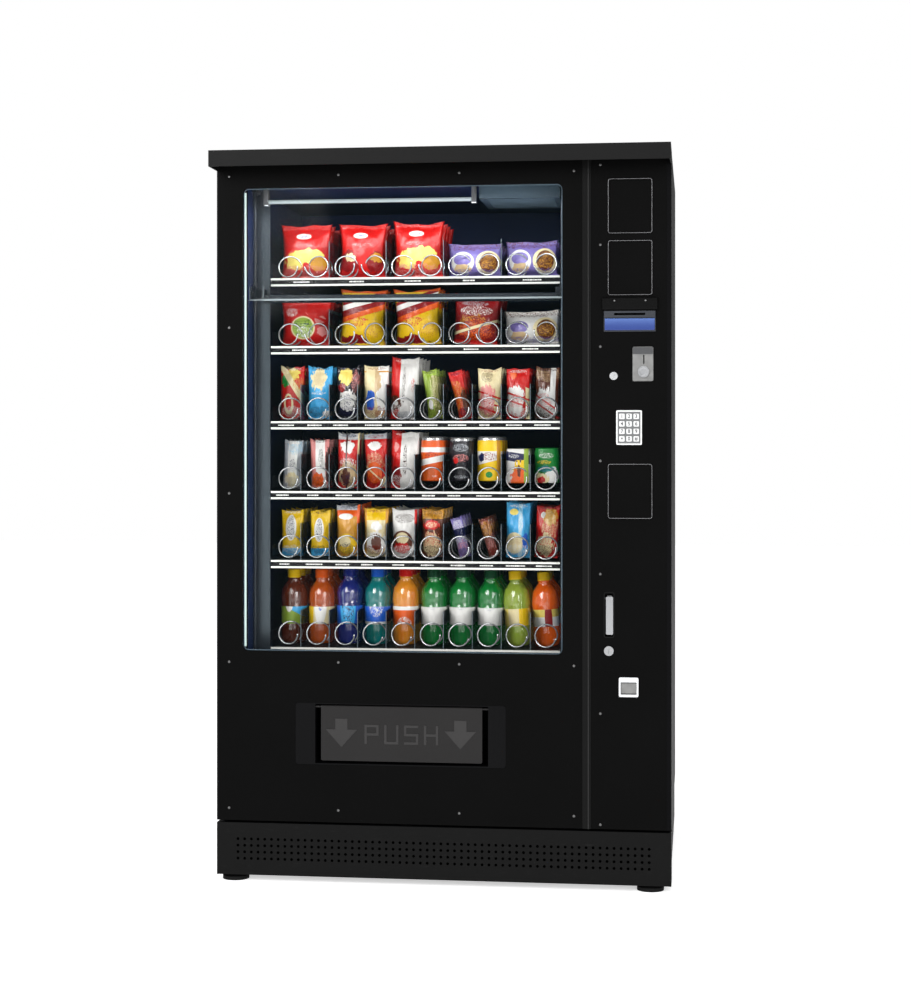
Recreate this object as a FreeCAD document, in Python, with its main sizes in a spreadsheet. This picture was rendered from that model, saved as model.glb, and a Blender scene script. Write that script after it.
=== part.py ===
import FreeCAD, Part
import math
import os
import re
import Sketcher

# Snack vending machine with a full-width glass door, six spiral trays, a product lift, a payment
# column and a push-in delivery hatch.  Millimetres; X to the customer's right, Y to the rear, Z up;
# the origin is on the floor, in the middle of the machine's bounding box.

CELLS = {
    "half_width": 570, "total_height": 1830, "rear": 470,
    "sheet": 2, "skin": 3, "weld_gap": 0.05, "screw_hole": 1.65,
    "base_high": 148, "plinth_low": 17, "foot_radius": 33.5,
    "cabinet_front": -290, "cabinet_back": 468, "cabinet_high": 1826,
    "partition": 338,
    "cell_left": -512, "cell_right": 300, "cell_back": 400, "cell_high": 1765,
    "cell_low": 530, "well_low": 288, "well_back": -60,
    "door_front": -382, "door_back": -294, "door_low": 154, "door_high": 1806,
    "hinge_x": -561, "hinge_y": -308, "pin_radius": 5, "pin_fit": 0.05,
    "canopy_front": -470, "canopy_low": 1790,
    "window_left": -504, "window_right": 302.5, "window_low": 581, "window_high": 1746,
    "window_corner": 17,
    "edge_left": -563.5, "seam_left": 351.5, "seam_right": 373, "edge_right": 558.5,
    "hatch_left": -369, "hatch_right": 162.5, "hatch_low": 297.5, "hatch_high": 453,
    "flap_left": -303.5, "flap_right": 103, "flap_low": 308.5, "flap_high": 449,
    "column_x": 469, "plate_width": 110.5, "plate_height": 137,
    "coin_x": 500.5, "keypad_x": 466.5, "key_travel": 1.6,
    "handle_left": 404, "handle_right": 431, "handle_low": 625, "handle_high": 738,
    "cup_left": 441.5, "cup_right": 489.5, "cup_low": 480.5, "cup_high": 528.5,
    "tray_left": -470, "tray_right": 284, "tray_front": -202, "tray_back": 300,
    "lane": 75, "divider_height": 98, "rail_height": 21, "rail_lip": 5,
    "perforation": 3.6,
    "spiral_radius": 30, "spiral_wire": 2, "spiral_lift": 33.5, "spiral_turns": 8,
    "lift_level": 1474, "lift_front": -286, "lift_rear": -210,
}

# Height of each tray's rail top, from the top tray down.
TRAY_LEVELS = (1533, 1356, 1160.5, 978.5, 799, 572)
WIDE_LANE_TRAYS = 2
LANES = 10
SPIRAL_RUNS = 24
PANEL_SCREWS = {
    "window": [("-538.5", z) for z in ("1776", "1395", "977.5", "553", "185")]
              + [(x, z) for z in ("1776", "555", "184.5") for x in ("-259", "46", "331")],
    "control": [("396", z) for z in ("1790", "1593", "1342", "1060.5", "782", "438.5", "165")],
}
FOOT_COLUMNS = ("-530", "518")
FOOT_ROWS = ("-341", "425")

document = FreeCAD.newDocument("snack_vending_machine")
sheet = document.addObject("Spreadsheet::Sheet", "Sizes")
for number, (alias, amount) in enumerate(CELLS.items(), start=1):
    sheet.set(f"A{number}", alias)
    sheet.set(f"B{number}", str(amount))
    sheet.setAlias(f"B{number}", alias)
document.recompute()

WORD = re.compile(r"[a-z][a-z_]*")
AXES = {
    "x": FreeCAD.Rotation(FreeCAD.Vector(0, 1, 0), 90),
    "y": FreeCAD.Rotation(FreeCAD.Vector(1, 0, 0), -90),
    "z": FreeCAD.Rotation(),
}
BOX_EDGES = {"x": (9, 10, 11, 12), "y": (2, 4, 6, 8), "z": (1, 3, 5, 7)}
nodes = {}


def formula(text):
    """An expression over the sheet, written with bare cell names."""
    return WORD.sub(lambda found: "Sizes." + found.group(0), str(text))


def size(text):
    """The number that a formula gives now."""
    return float(sheet.evalExpression(formula(text)))


def node(label, thing):
    """Names a finished sub-part, which is also its file's name."""
    thing.Label = label
    nodes[label] = thing
    return thing


def block(name, x, y, z):
    """A box; x, y and z are each a low and a high formula."""
    box = document.addObject("Part::Box", name)
    for length, letter, (low, high) in zip(("Length", "Width", "Height"), "xyz", (x, y, z)):
        box.setExpression(length, formula(f"({high}) - ({low})"))
        box.setExpression("Placement.Base." + letter, formula(low))
    return box


def round_bar(name, axis, start, radius, length):
    """A cylinder from start, along +axis."""
    bar = document.addObject("Part::Cylinder", name)
    bar.Placement = FreeCAD.Placement(FreeCAD.Vector(), AXES[axis])
    bar.setExpression("Radius", formula(radius))
    bar.setExpression("Height", formula(length))
    for letter, place in zip("xyz", start):
        bar.setExpression("Placement.Base." + letter, formula(place))
    return bar


def cone(name, axis, start, radius, end_radius, length):
    """A cone or a taper from start, along +axis."""
    taper = document.addObject("Part::Cone", name)
    taper.Placement = FreeCAD.Placement(FreeCAD.Vector(), AXES[axis])
    taper.setExpression("Radius1", formula(radius))
    taper.setExpression("Radius2", formula(end_radius))
    taper.setExpression("Height", formula(length))
    for letter, place in zip("xyz", start):
        taper.setExpression("Placement.Base." + letter, formula(place))
    return taper


def rounded(name, base, axis, radius, edges=None):
    """The base box with its edges along one axis rounded."""
    fillet = document.addObject("Part::Fillet", name)
    fillet.Base = base
    amount = size(radius)
    fillet.Edges = [(edge, amount, amount) for edge in (edges or BOX_EDGES[axis])]
    return fillet


def group(name, pieces):
    """Separate solids kept together, unjoined."""
    bundle = document.addObject("Part::Compound", name)
    bundle.Links = list(pieces)
    return bundle


def fuse(name, pieces):
    """Touching or overlapping solids joined into one."""
    union = document.addObject("Part::MultiFuse", name)
    union.Shapes = list(pieces)
    union.Refine = True
    return union


def cut(name, base, tools):
    """The base less the tools, which are apart from each other."""
    result = document.addObject("Part::Cut", name)
    result.Base = base
    result.Tool = tools[0] if len(tools) == 1 else group(name + "_tools", tools)
    result.Refine = True
    return result


def around(middle, width):
    """A range of one width about a middle."""
    return (f"({middle}) - ({width}) / 2", f"({middle}) + ({width}) / 2")


# ---------------------------------------------------------------- sketched sheet-metal panels


def plane(body, role):
    """One of a body's own origin planes."""
    return next(item for item in body.Origin.OriginFeatures if item.Role == role)


def bind_last(sketch, text):
    """Binds the sketch's newest constraint to the sheet."""
    sketch.setExpression(f"Constraints[{sketch.ConstraintCount - 1}]", formula(text))


def place_point(sketch, geometry, point, across, up):
    """Dimensions a point from the sketch's origin."""
    for kind, text in (("DistanceX", across), ("DistanceY", up)):
        if text is None:
            continue
        sketch.addConstraint(Sketcher.Constraint(kind, -1, 1, geometry, point, size(text)))
        bind_last(sketch, text)


def sketch_rectangle(sketch, across, up, radius=None):
    """A rectangle between two ranges, with rounded corners when a radius is given."""
    left, right = (size(text) for text in across)
    low, high = (size(text) for text in up)
    bend = size(radius) if radius else 0.0
    point = FreeCAD.Vector
    ends = (
        (point(left + bend, low, 0), point(right - bend, low, 0)),
        (point(right, low + bend, 0), point(right, high - bend, 0)),
        (point(right - bend, high, 0), point(left + bend, high, 0)),
        (point(left, high - bend, 0), point(left, low + bend, 0)),
    )
    sides = [sketch.addGeometry(Part.LineSegment(*pair), False) for pair in ends]
    for side, kind in zip(sides, ("Horizontal", "Vertical", "Horizontal", "Vertical")):
        sketch.addConstraint(Sketcher.Constraint(kind, side))
    if bend:
        centres = (
            point(right - bend, low + bend, 0),
            point(right - bend, high - bend, 0),
            point(left + bend, high - bend, 0),
            point(left + bend, low + bend, 0),
        )
        corners = []
        for turn, centre in enumerate(centres):
            start = (turn - 1) * math.pi / 2
            arc = Part.ArcOfCircle(Part.Circle(centre, point(0, 0, 1), bend), start, start + math.pi / 2)
            corners.append(sketch.addGeometry(arc, False))
        for turn in range(4):
            following = sides[(turn + 1) % 4]
            sketch.addConstraint(Sketcher.Constraint("Tangent", sides[turn], 2, corners[turn], 1))
            sketch.addConstraint(Sketcher.Constraint("Tangent", corners[turn], 2, following, 1))
            if turn:
                sketch.addConstraint(Sketcher.Constraint("Equal", corners[0], corners[turn]))
        sketch.addConstraint(Sketcher.Constraint("Radius", corners[0], bend))
        bind_last(sketch, radius)
    else:
        for turn in range(4):
            following = sides[(turn + 1) % 4]
            sketch.addConstraint(Sketcher.Constraint("Coincident", sides[turn], 2, following, 1))
    place_point(sketch, sides[0], 1, None, up[0])
    place_point(sketch, sides[1], 1, across[1], None)
    place_point(sketch, sides[2], 1, None, up[1])
    place_point(sketch, sides[3], 1, across[0], None)


def sketch_circle(sketch, across, up, radius):
    """A circle about a dimensioned centre."""
    centre = FreeCAD.Vector(size(across), size(up), 0)
    round_edge = sketch.addGeometry(Part.Circle(centre, FreeCAD.Vector(0, 0, 1), size(radius)), False)
    sketch.addConstraint(Sketcher.Constraint("Radius", round_edge, size(radius)))
    bind_last(sketch, radius)
    place_point(sketch, round_edge, 3, across, up)


def front_sketch(body, name, back):
    """A sketch facing the customer, on the plane y = back."""
    sketch = body.newObject("Sketcher::SketchObject", name)
    sketch.AttachmentSupport = (plane(body, "XZ_Plane"), [""])
    sketch.MapMode = "FlatFace"
    sketch.setExpression("AttachmentOffset.Base.z", formula(f"-({back})"))
    return sketch


def front_panel(label, across, up, depth, holes=(), circles=(), corner=None):
    """A flat panel seen from the front, padded forward from its rear face, with its cut-outs."""
    body = document.addObject("PartDesign::Body", label)
    front, back = depth
    outline = front_sketch(body, label + "_outline", back)
    sketch_rectangle(outline, across, up, corner)
    for hole_across, hole_up, radius in holes:
        sketch_rectangle(outline, hole_across, hole_up, radius)
    for circle in circles:
        sketch_circle(outline, *circle)
    pad = body.newObject("PartDesign::Pad", label + "_pad")
    pad.Profile = outline
    pad.setExpression("Length", formula(f"({back}) - ({front})"))
    body.Tip = pad
    return body


# ---------------------------------------------------------------- cabinet


def cabinet_shell():
    """Outer cabinet of flat sheets with its partition; the display side and the payment side open forward."""
    deep = ("cabinet_front", "cabinet_back")
    inside = ("-half_width + sheet + weld_gap", "half_width - sheet - weld_gap")
    tall = ("base_high + sheet + weld_gap", "cabinet_high - sheet - weld_gap")
    left = block("shell_left", ("-half_width", "-half_width + sheet"), deep, ("base_high", "cabinet_high"))
    right = block("shell_right", ("half_width - sheet", "half_width"), deep, ("base_high", "cabinet_high"))
    roof = block("shell_roof", inside, deep, ("cabinet_high - sheet", "cabinet_high"))
    partition = block("shell_partition", ("partition", "partition + sheet"),
                      ("cabinet_front", "cabinet_back - sheet - weld_gap"), tall)
    bottom = block("shell_bottom", inside, deep, ("base_high", "base_high + sheet"))
    drain = block("shell_floor_vent", ("-300", "200"), ("0", "380"), ("base_high - 1", "base_high + 3"))
    back = block("shell_back", inside, ("cabinet_back - sheet", "cabinet_back"), tall)
    vent = block("shell_vent", ("-400", "240"), ("cabinet_back - 5", "cabinet_back + 1"), ("190", "410"))
    socket = block("shell_socket", ("415", "465"), ("cabinet_back - 5", "cabinet_back + 1"), ("190", "220"))
    floor = cut("shell_floor", bottom, [drain])
    rear = cut("shell_rear", back, [vent, socket])
    sheets = [left, right, roof, partition, floor, rear]
    return node("cabinet_shell", group("shell_set", sheets + [rear_grille(), power_inlet()]))


def inner_liner():
    """Thin liner of the cooled display cell: a tall cell and, in front, a well down to the delivery bin."""
    front = "cabinet_front + sheet + weld_gap"
    inside = ("cell_left + weld_gap", "cell_right - weld_gap")
    sides = (("left", ("cell_left - sheet", "cell_left")), ("right", ("cell_right", "cell_right + sheet")))
    sheets = [
        block("liner_roof", inside, (front, "cell_back + sheet"), ("cell_high", "cell_high + sheet")),
        block("liner_back", inside, ("cell_back", "cell_back + sheet"),
              ("cell_low + weld_gap", "cell_high - weld_gap")),
        block("liner_floor", inside, ("well_back + sheet + weld_gap", "cell_back + sheet"),
              ("cell_low - sheet", "cell_low")),
        block("liner_well_back", inside, ("well_back", "well_back + sheet"),
              ("well_low + weld_gap", "cell_low")),
        block("liner_well_floor", inside, (front, "well_back + sheet"), ("well_low - sheet", "well_low")),
    ]
    for side, across in sides:
        sheets.append(block(f"liner_{side}", across, (front, "cell_back + sheet"),
                            ("cell_low - sheet", "cell_high + sheet")))
        sheets.append(block(f"liner_well_{side}", across, (front, "well_back + sheet"),
                            ("well_low - sheet", "cell_low - sheet - weld_gap")))
    return node("inner_liner", group("liner_set", sheets + liner_flange() + tray_slides()))


def liner_flange():
    """Four flat strips round the mouth of the cell, which the door seal presses on."""
    depth = ("cabinet_front", "cabinet_front + sheet")
    outer_left = "-half_width + sheet + weld_gap"
    outer_right = "partition - weld_gap"
    high = "cabinet_high - sheet - weld_gap"
    between = ("well_low + weld_gap", "cell_high - weld_gap")
    return [
        block("flange_left", (outer_left, "cell_left"), depth, between),
        block("flange_right", ("cell_right", outer_right), depth, between),
        block("flange_top", (outer_left, outer_right), depth, ("cell_high", high)),
        block("flange_foot", (outer_left, outer_right), depth, ("well_low - 28", "well_low")),
    ]


def tray_slides():
    """Angle runners on both cell walls, which carry the trays."""
    runners = []
    for row, level in enumerate(TRAY_LEVELS, start=1):
        left = ("cell_left", "tray_left + 14")
        right = ("tray_right - 10", "cell_right")
        for side, across in (("left", left), ("right", right)):
            shelf = block(f"runner_{side}_{row}", across, ("-180", "tray_back"),
                          (f"{level} - 6", f"{level} - 4"))
            inner = ("cell_left", "cell_left + 2") if side == "left" else ("cell_right - 2", "cell_right")
            wall = block(f"runner_{side}_wall_{row}", inner, ("-180", "tray_back"),
                         (f"{level} - 6", f"{level} + 24"))
            runners.append(fuse(f"runner_{side}_{row}_angle", [shelf, wall]))
    return runners


def base_frame():
    """Welded base of flat plates: a low box with a deck on top, standing as deep as the door and the cabinet."""
    left, right = "-half_width + 2", "half_width - 2"
    front, back = "door_front + 2.3", "cabinet_back"
    plate = 3
    inside = (f"{left} + {plate} + weld_gap", f"{right} - {plate} - weld_gap")
    walls = ("plinth_low + 10", f"base_high - {plate} - weld_gap")
    deck = block("base_deck", (left, right), (front, back), (f"base_high - {plate}", "base_high"))
    vent = block("base_deck_vent", ("-300", "200"), ("0", "380"), ("base_high - 4", "base_high + 1"))
    face = block("base_face", inside, (front, f"{front} + {plate}"), walls)
    window = block("base_front_window", ("-520", "520"), ("door_front", "door_front + 6"), ("48", "118"))
    plates = [
        cut("base_deck_open", deck, [vent]),
        cut("base_face_open", face, [window]),
        block("base_left", (left, f"{left} + {plate}"), (front, back), walls),
        block("base_right", (f"{right} - {plate}", right), (front, back), walls),
        block("base_rear", inside, (f"{back} - {plate}", back), walls),
    ]
    for number, y in enumerate(FOOT_ROWS, start=1):
        member = block(f"base_member_{number}", inside, around(y, "70"), ("40", "46"))
        holes = [round_bar(f"base_member_hole_{number}_{n}", "z", (x, y, "39"), "8.2", "8")
                 for n, x in enumerate(FOOT_COLUMNS, start=1)]
        plates.append(cut(f"base_member_{number}_bored", member, holes))
    return node("base_frame", group("base", plates))


def levelling_feet():
    """Four round levelling feet with threaded stems and lock nuts."""
    feet = []
    places = [(x, y) for x in FOOT_COLUMNS for y in FOOT_ROWS]
    for number, (x, y) in enumerate(places, start=1):
        disc = round_bar(f"foot_disc_{number}", "z", (x, y, "0"), "foot_radius", "9")
        crown = cone(f"foot_crown_{number}", "z", (x, y, "9"), "foot_radius", "16", "8")
        stem = round_bar(f"foot_stem_{number}", "z", (x, y, "16"), "8", "70")
        nut = round_bar(f"foot_nut_{number}", "z", (x, y, "46.5"), "13", "11")
        feet.append(fuse(f"foot_{number}", [disc, crown, stem, nut]))
    return node("levelling_feet", group("foot_set", feet))


def kick_plate():
    """Perforated plinth plate with side returns: four rows of round holes across the width."""
    columns, rows = 61, 4
    hole_pitch, row_pitch = 17.19, 16.4
    first_x, first_z = -515.7, 58.2
    face = block("kick_face", ("-half_width", "half_width"), ("door_front", "door_front + sheet"),
                 ("plinth_low", "base_high"))
    returns = [
        block(f"kick_return_{side}", across, ("door_front", "cabinet_front - 1"), ("plinth_low", "base_high"))
        for side, across in (("left", ("-half_width", "-half_width + 1.7")),
                             ("right", ("half_width - 1.7", "half_width")))
    ]
    holes = [
        Part.makeCylinder(size("perforation"), 6,
                          FreeCAD.Vector(first_x + hole_pitch * column, size("door_front") - 2,
                                         first_z + row_pitch * row), FreeCAD.Vector(0, 1, 0))
        for column in range(columns) for row in range(rows)
    ]
    grid = document.addObject("Part::Feature", "kick_holes")
    grid.Shape = Part.makeCompound(holes)
    return node("kick_plate", cut("kick", fuse("kick_solid", [face] + returns), [grid]))


def rear_grille():
    """Slotted vent plate over the cooling bay at the back."""
    plate = block("grille_plate", ("-420", "260"), ("cabinet_back", "rear"), ("170", "430"))
    slots = []
    for column in range(3):
        for line in range(11):
            left = -395 + 215 * column
            low = 196 + 19 * line
            slots.append(block(f"grille_slot_{column}_{line}", (f"{left}", f"{left + 200}"),
                               ("cabinet_back - 1", "rear + 1"), (f"{low}", f"{low + 9}")))
    return cut("grille", plate, slots)


def power_inlet():
    """Recessed mains inlet with three blades, at the lower right of the back."""
    shell = block("inlet_shell", ("415.3", "464.7"), ("438", "rear - 0.4"), ("190.3", "219.7"))
    recess = block("inlet_recess", ("422", "458"), ("448", "rear + 1"), ("195", "215"))
    blades = [block(f"inlet_blade_{n}", around(x, "2"), ("440", "464"), around(z, "6"))
              for n, (x, z) in enumerate((("431", "203"), ("440", "208"), ("449", "203")), start=1)]
    return fuse("inlet", [cut("inlet_housing", shell, [recess])] + blades)


def cooling_unit():
    """Compressor can, condenser block and fan shroud on a tray in the bay under the display cell."""
    tray = block("cooling_tray", ("-420", "260"), ("-20", "450"), ("150.3", "153"))
    drum = round_bar("compressor_drum", "z", ("-300", "330", "153 + weld_gap"), "82", "150 - weld_gap")
    dome = cone("compressor_dome", "z", ("-300", "330", "303"), "82", "40", "38")
    fins = [block(f"condenser_fin_{n}", ("-120", "200"), (f"{120 + 9 * n}", f"{122 + 9 * n}"),
                  ("153 + weld_gap", "420"))
            for n in range(9)]
    pipes = [round_bar(f"condenser_pipe_{n}", "y", (f"{-100 + 56 * n}", "112", "290"), "5", "96")
             for n in range(6)]
    compressor = fuse("compressor", [drum, dome])
    condenser = fuse("condenser", fins + pipes)
    shroud = block("fan_shroud", ("-80", "160"), ("212", "236"), ("153 + weld_gap", "413"))
    mouth = round_bar("fan_shroud_mouth", "y", ("40", "211", "285"), "112", "30")
    ring = cut("fan_shroud_ring", shroud, [mouth])
    arm = block("fan_motor_arm", ("-72", "152"), ("226", "232"), ("280", "290"))
    motor = round_bar("fan_motor", "y", ("40", "222", "285"), "24", "14")
    fan_mount = fuse("fan_mount", [ring, arm, motor])
    return node("cooling_unit", group("cooling", [tray, compressor, condenser, fan_mount]))


def condenser_fan():
    """Five-bladed fan: a hub with flat blades set at a pitch."""
    middle = FreeCAD.Vector(40, 0, 285)
    hub = Part.makeCylinder(20, 24, middle + FreeCAD.Vector(0, 238, 0), FreeCAD.Vector(0, 1, 0))
    blades = []
    for number in range(5):
        blade = Part.makeBox(88, 2.5, 44, FreeCAD.Vector(15, -1.25, -22))
        blade.rotate(FreeCAD.Vector(), FreeCAD.Vector(1, 0, 0), 28)
        blade.rotate(FreeCAD.Vector(), FreeCAD.Vector(0, 1, 0), 72 * number)
        blade.translate(middle + FreeCAD.Vector(0, 250, 0))
        blades.append(blade)
    fan = document.addObject("Part::Feature", "fan")
    fan.Shape = hub.fuse(blades)
    return node("condenser_fan", fan)


def evaporator_box():
    """Cold-air outlet box under the ceiling of the cell, with its fan grille below."""
    case = block("evaporator_case", ("82", "287.5"), ("-262", "-30"), ("1726", "cell_high - 0.5"))
    hollow = block("evaporator_hollow", ("86", "283.5"), ("-258", "-34"), ("1729", "cell_high"))
    slots = [block(f"evaporator_slot_{n}", ("100", "270"), (f"{-240 + 24 * n}", f"{-228 + 24 * n}"),
                   ("1725", "1730"))
             for n in range(8)]
    return node("evaporator_box", cut("evaporator", case, [fuse("evaporator_room", [hollow] + slots)]))


def light_tube():
    """Lamp tube with end sockets along the top of the window."""
    tube = round_bar("lamp_tube", "x", ("-468", "-268", "1724"), "5", "538")
    sockets = [block(f"lamp_socket_{n}", (x, f"{x} + 12"), ("-276", "-260"), ("1714", "cell_high - 0.5"))
               for n, x in enumerate(("-474", "64"), start=1)]
    return node("light_tube", group("lamp", [fuse("lamp_body", [tube] + sockets)]))


def lift_rails():
    """Side columns of the product lift: a cover plate and a round guide rod on each side."""
    cover = block("lift_cover", ("cell_left + 0.5", "tray_left - 3"), ("tray_front + 1", "tray_front + 3"),
                  ("cell_low + 3", "cell_high - 1"))
    pieces = [cover]
    for side, x in (("left", "-503"), ("right", "293")):
        rod = round_bar(f"lift_rod_{side}", "z", (x, "-248", "well_low + 12"), "4",
                        "cell_high - 4 - well_low - 12")
        ends = [block(f"lift_{side}_end_{n}", around(x, "11"), ("-256", "-206"), (low, f"{low} + 10"))
                for n, low in enumerate(("well_low + 4", "cell_high - 14"), start=1)]
        pieces.append(fuse(f"lift_column_{side}", [rod] + ends))
    return node("lift_rails", group("lift_rail_set", pieces))


def delivery_bin():
    """Open-topped bin behind the hatch, where the lift leaves the product."""
    outer = block("bin_outer", ("-324", "124"), ("cabinet_front + 1", "well_back - 4"),
                  ("well_low + 2", "468"))
    inner = block("bin_inner", ("-321", "121"), ("cabinet_front", "well_back - 7"), ("well_low + 5", "469"))
    return node("delivery_bin", cut("bin", outer, [inner]))


def control_box():
    """Electronics case on the payment side, with its power supply, terminals and cover screws."""
    case = block("control_case", ("346", "420"), ("150", "440"), ("900", "1300"))
    base = fuse("control_case_set", [
        case,
        block("power_supply", ("346", "430"), ("200", "440"), ("560", "760")),
        block("terminal_strip", ("346", "372"), ("160", "420"), ("800", "840")),
        block("control_rail", ("partition + 2.5", "346"), ("150", "440"), ("540", "1320")),
    ])
    return node("control_box", base)


def door_hinges():
    """Top and bottom pivots: a plate with a pin that enters the door's left stile."""
    foot = block("hinge_foot", ("hinge_x - 8", "hinge_x + 24"), ("hinge_y - 14", "cabinet_front - 1"),
                 ("base_high", "base_high + 3"))
    low_pin = round_bar("hinge_low_pin", "z", ("hinge_x", "hinge_y", "base_high + 2"), "pin_radius", "13")
    arm = block("hinge_arm", ("hinge_x - 8", "hinge_x + 26"), ("hinge_y - 12", "cabinet_front"),
                ("door_high + 3", "door_high + 6"))
    leg = block("hinge_leg", ("hinge_x - 8", "hinge_x + 26"), ("cabinet_front - 3", "cabinet_front"),
                ("door_high + 3", "cabinet_high - 1"))
    top_pin = round_bar("hinge_top_pin", "z", ("hinge_x", "hinge_y", "door_high - 9"), "pin_radius", "13")
    lower = fuse("hinge_lower", [foot, low_pin])
    upper = fuse("hinge_upper", [arm, leg, top_pin])
    return node("door_hinges", group("hinge_pair", [lower, upper]))


# ---------------------------------------------------------------- door


def door_frame():
    """Door casting: stiles and rails open to the front, closed at the back, bored for the pivots."""
    depth = ("door_front + skin", "door_back")
    frame = block("frame_outer", ("-half_width", "half_width"), depth, ("door_low", "door_high"))
    left_lip = block("frame_left_lip", ("-half_width", "edge_left - 0.3"),
                     ("door_front", "door_front + skin"),
                     ("door_low", "door_high"))
    right_lip = block("frame_right_lip", ("edge_right + 0.3", "half_width"),
                      ("door_front", "door_front + skin"),
                      ("door_low", "door_high"))
    through = ("door_front", "door_back + 1")
    openings = [
        block("frame_window", ("-520", "318"), through, ("565", "1762")),
        block("frame_controls", ("380", "552"), through, ("420", "1790")),
        block("frame_hatch", ("hatch_left - 3", "hatch_right + 3"), through,
              ("hatch_low - 5", "hatch_high + 5")),
    ]
    pocket = ("door_front", "door_back - 6")
    hollows = [
        block("frame_left_hollow", ("-548", "-524"), pocket, ("180", "1776")),
        block("frame_top_hollow", ("-516", "372"), pocket, ("1768", "1798")),
        block("frame_mid_hollow", ("-516", "372"), pocket, ("466", "559")),
        block("frame_low_left_hollow", ("-516", "-380"), pocket, ("166", "460")),
        block("frame_low_right_hollow", ("174", "374"), pocket, ("166", "460")),
        block("frame_low_hollow", ("-372", "166"), pocket, ("166", "284")),
        block("frame_post_hollow", ("326", "374"), pocket, ("565", "1762")),
        block("frame_cash_hollow", ("380", "552"), pocket, ("166", "412")),
    ]
    bores = [
        round_bar("frame_low_bore", "z", ("hinge_x", "hinge_y", "door_low - 1"), "pin_radius + pin_fit",
                  "13"),
        round_bar("frame_top_bore", "z", ("hinge_x", "hinge_y", "door_high - 12"), "pin_radius + pin_fit",
                  "13"),
    ]
    solid = fuse("frame_solid", [frame, left_lip, right_lip])
    casting = cut("frame", solid, openings + hollows + bores)
    return node("door_frame", group("door_frame_set", [casting] + glass_spacer()))


def window_panel():
    """Black front sheet round the window and the hatch."""
    holes = [
        (("window_left", "window_right"), ("window_low", "window_high"), "window_corner"),
        (("hatch_left", "hatch_right"), ("hatch_low", "hatch_high"), "8"),
    ]
    circles = [(x, z, "screw_hole") for x, z in PANEL_SCREWS["window"]]
    panel = front_panel("window_panel_body", ("edge_left", "seam_left"), ("door_low", "door_high"),
                        ("door_front", "door_front + skin"), holes, circles)
    return node("window_panel", panel)


def control_panel():
    """Black front sheet of the payment column, with an opening for each fitting."""
    holes = [
        (("404", "532"), ("1378", "1430"), "2"),
        (("478", "523"), ("1262", "1336"), "3"),
        (("437", "496"), ("1102", "1183"), "3"),
        (("handle_left + 1", "handle_right - 1"), ("handle_low + 1", "handle_high - 1"), "5"),
        (("cup_left + 1.5", "cup_right - 1.5"), ("cup_low + 1.5", "cup_high - 1.5"), "3"),
    ]
    circles = [("428.7", "1269.5", "10.2"), ("417", "593", "12.2")]
    circles += [(x, z, "screw_hole") for x, z in PANEL_SCREWS["control"]]
    panel = front_panel("control_panel_body", ("seam_right", "edge_right"), ("door_low", "door_high"),
                        ("door_front", "door_front + skin"), holes, circles)
    return node("control_panel", panel)


def centre_post():
    """Dark trim strip over the seam between the two sheets, with a raised bead."""
    strip = block("post_strip", ("seam_left + 0.3", "seam_right - 0.3"),
                  ("door_front - 1", "door_front + skin"),
                  ("door_low", "door_high"))
    bead = block("post_bead", ("364.8", "368.3"), ("door_front - 3", "door_front"), ("door_low", "door_high"))
    return node("centre_post", fuse("post", [strip, rounded("post_bead_round", bead, "z", "0.8", (1, 5))]))


def door_canopy():
    """Hollow lamp canopy of flat plates on top of the door, overhanging it to the front."""
    under = "total_height - skin - weld_gap"
    behind = "canopy_front + skin + weld_gap"
    top = block("canopy_top", ("-half_width", "half_width"), ("canopy_front", "door_back"),
                ("total_height - skin", "total_height"))
    lip = block("canopy_lip", ("-half_width", "half_width"), ("canopy_front", "canopy_front + skin"),
                ("canopy_low", under))
    left = block("canopy_left", ("-half_width", "-half_width + skin"), (behind, "-340"),
                 ("canopy_low", under))
    right = block("canopy_right", ("half_width - skin", "half_width"), (behind, "door_front - 0.3"),
                  ("canopy_low", under))
    tail = block("canopy_tail", ("-530", "half_width"), ("door_back - skin", "door_back"),
                 ("door_high", under))
    ribs = [block(f"canopy_rib_{n}", around(x, "3"), (behind, "door_back - skin - weld_gap"),
                  ("door_high", under))
            for n, x in enumerate(("-380", "0", "380"), start=1)]
    left_end = cut("canopy_left_end", left, [
        block("canopy_left_relief", ("-half_width - 1", "-half_width + 4"), ("door_front - 0.3", "-339"),
              ("canopy_low - 1", "door_high + 0.3"))])
    return node("door_canopy", group("canopy", [top, lip, left_end, right, tail] + ribs))


def window_glass():
    """Sealed double pane: two sheets of glass."""
    across = ("-519", "317")
    up = ("566", "1761")
    panes = [
        block("glass_outer", across, ("-378.7", "-373"), up),
        block("glass_inner", across, ("-352", "-347"), up),
    ]
    return node("window_glass", group("glass", panes))


def glass_spacer():
    """Spacer and clamping frame between and behind the panes."""
    def ring(name, y, inset):
        outer = block(name + "_outer", ("-519.5", "317.5"), y, ("565.5", "1761.5"))
        inner = block(name + "_inner", (f"-519.5 + {inset}", f"317.5 - {inset}"),
                      (f"{y[0]} - 1", f"{y[1]} + 1"),
                      (f"565.5 + {inset}", f"1761.5 - {inset}"))
        return cut(name, outer, [inner])
    rings = [ring("spacer", ("-373", "-352"), "11"), ring("clamp", ("-347", "-300"), "9")]
    return rings


def door_seal():
    """Magnetic gasket on the door's back, which closes on the liner's front flange."""
    outer = block("seal_outer", ("-546", "334"), ("door_back", "cabinet_front - 0.5"), ("266", "1790"))
    inner = block("seal_inner", ("-530", "318"), ("door_back - 1", "cabinet_front"), ("282", "1774"))
    return node("door_seal", cut("seal", outer, [inner]))


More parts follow.
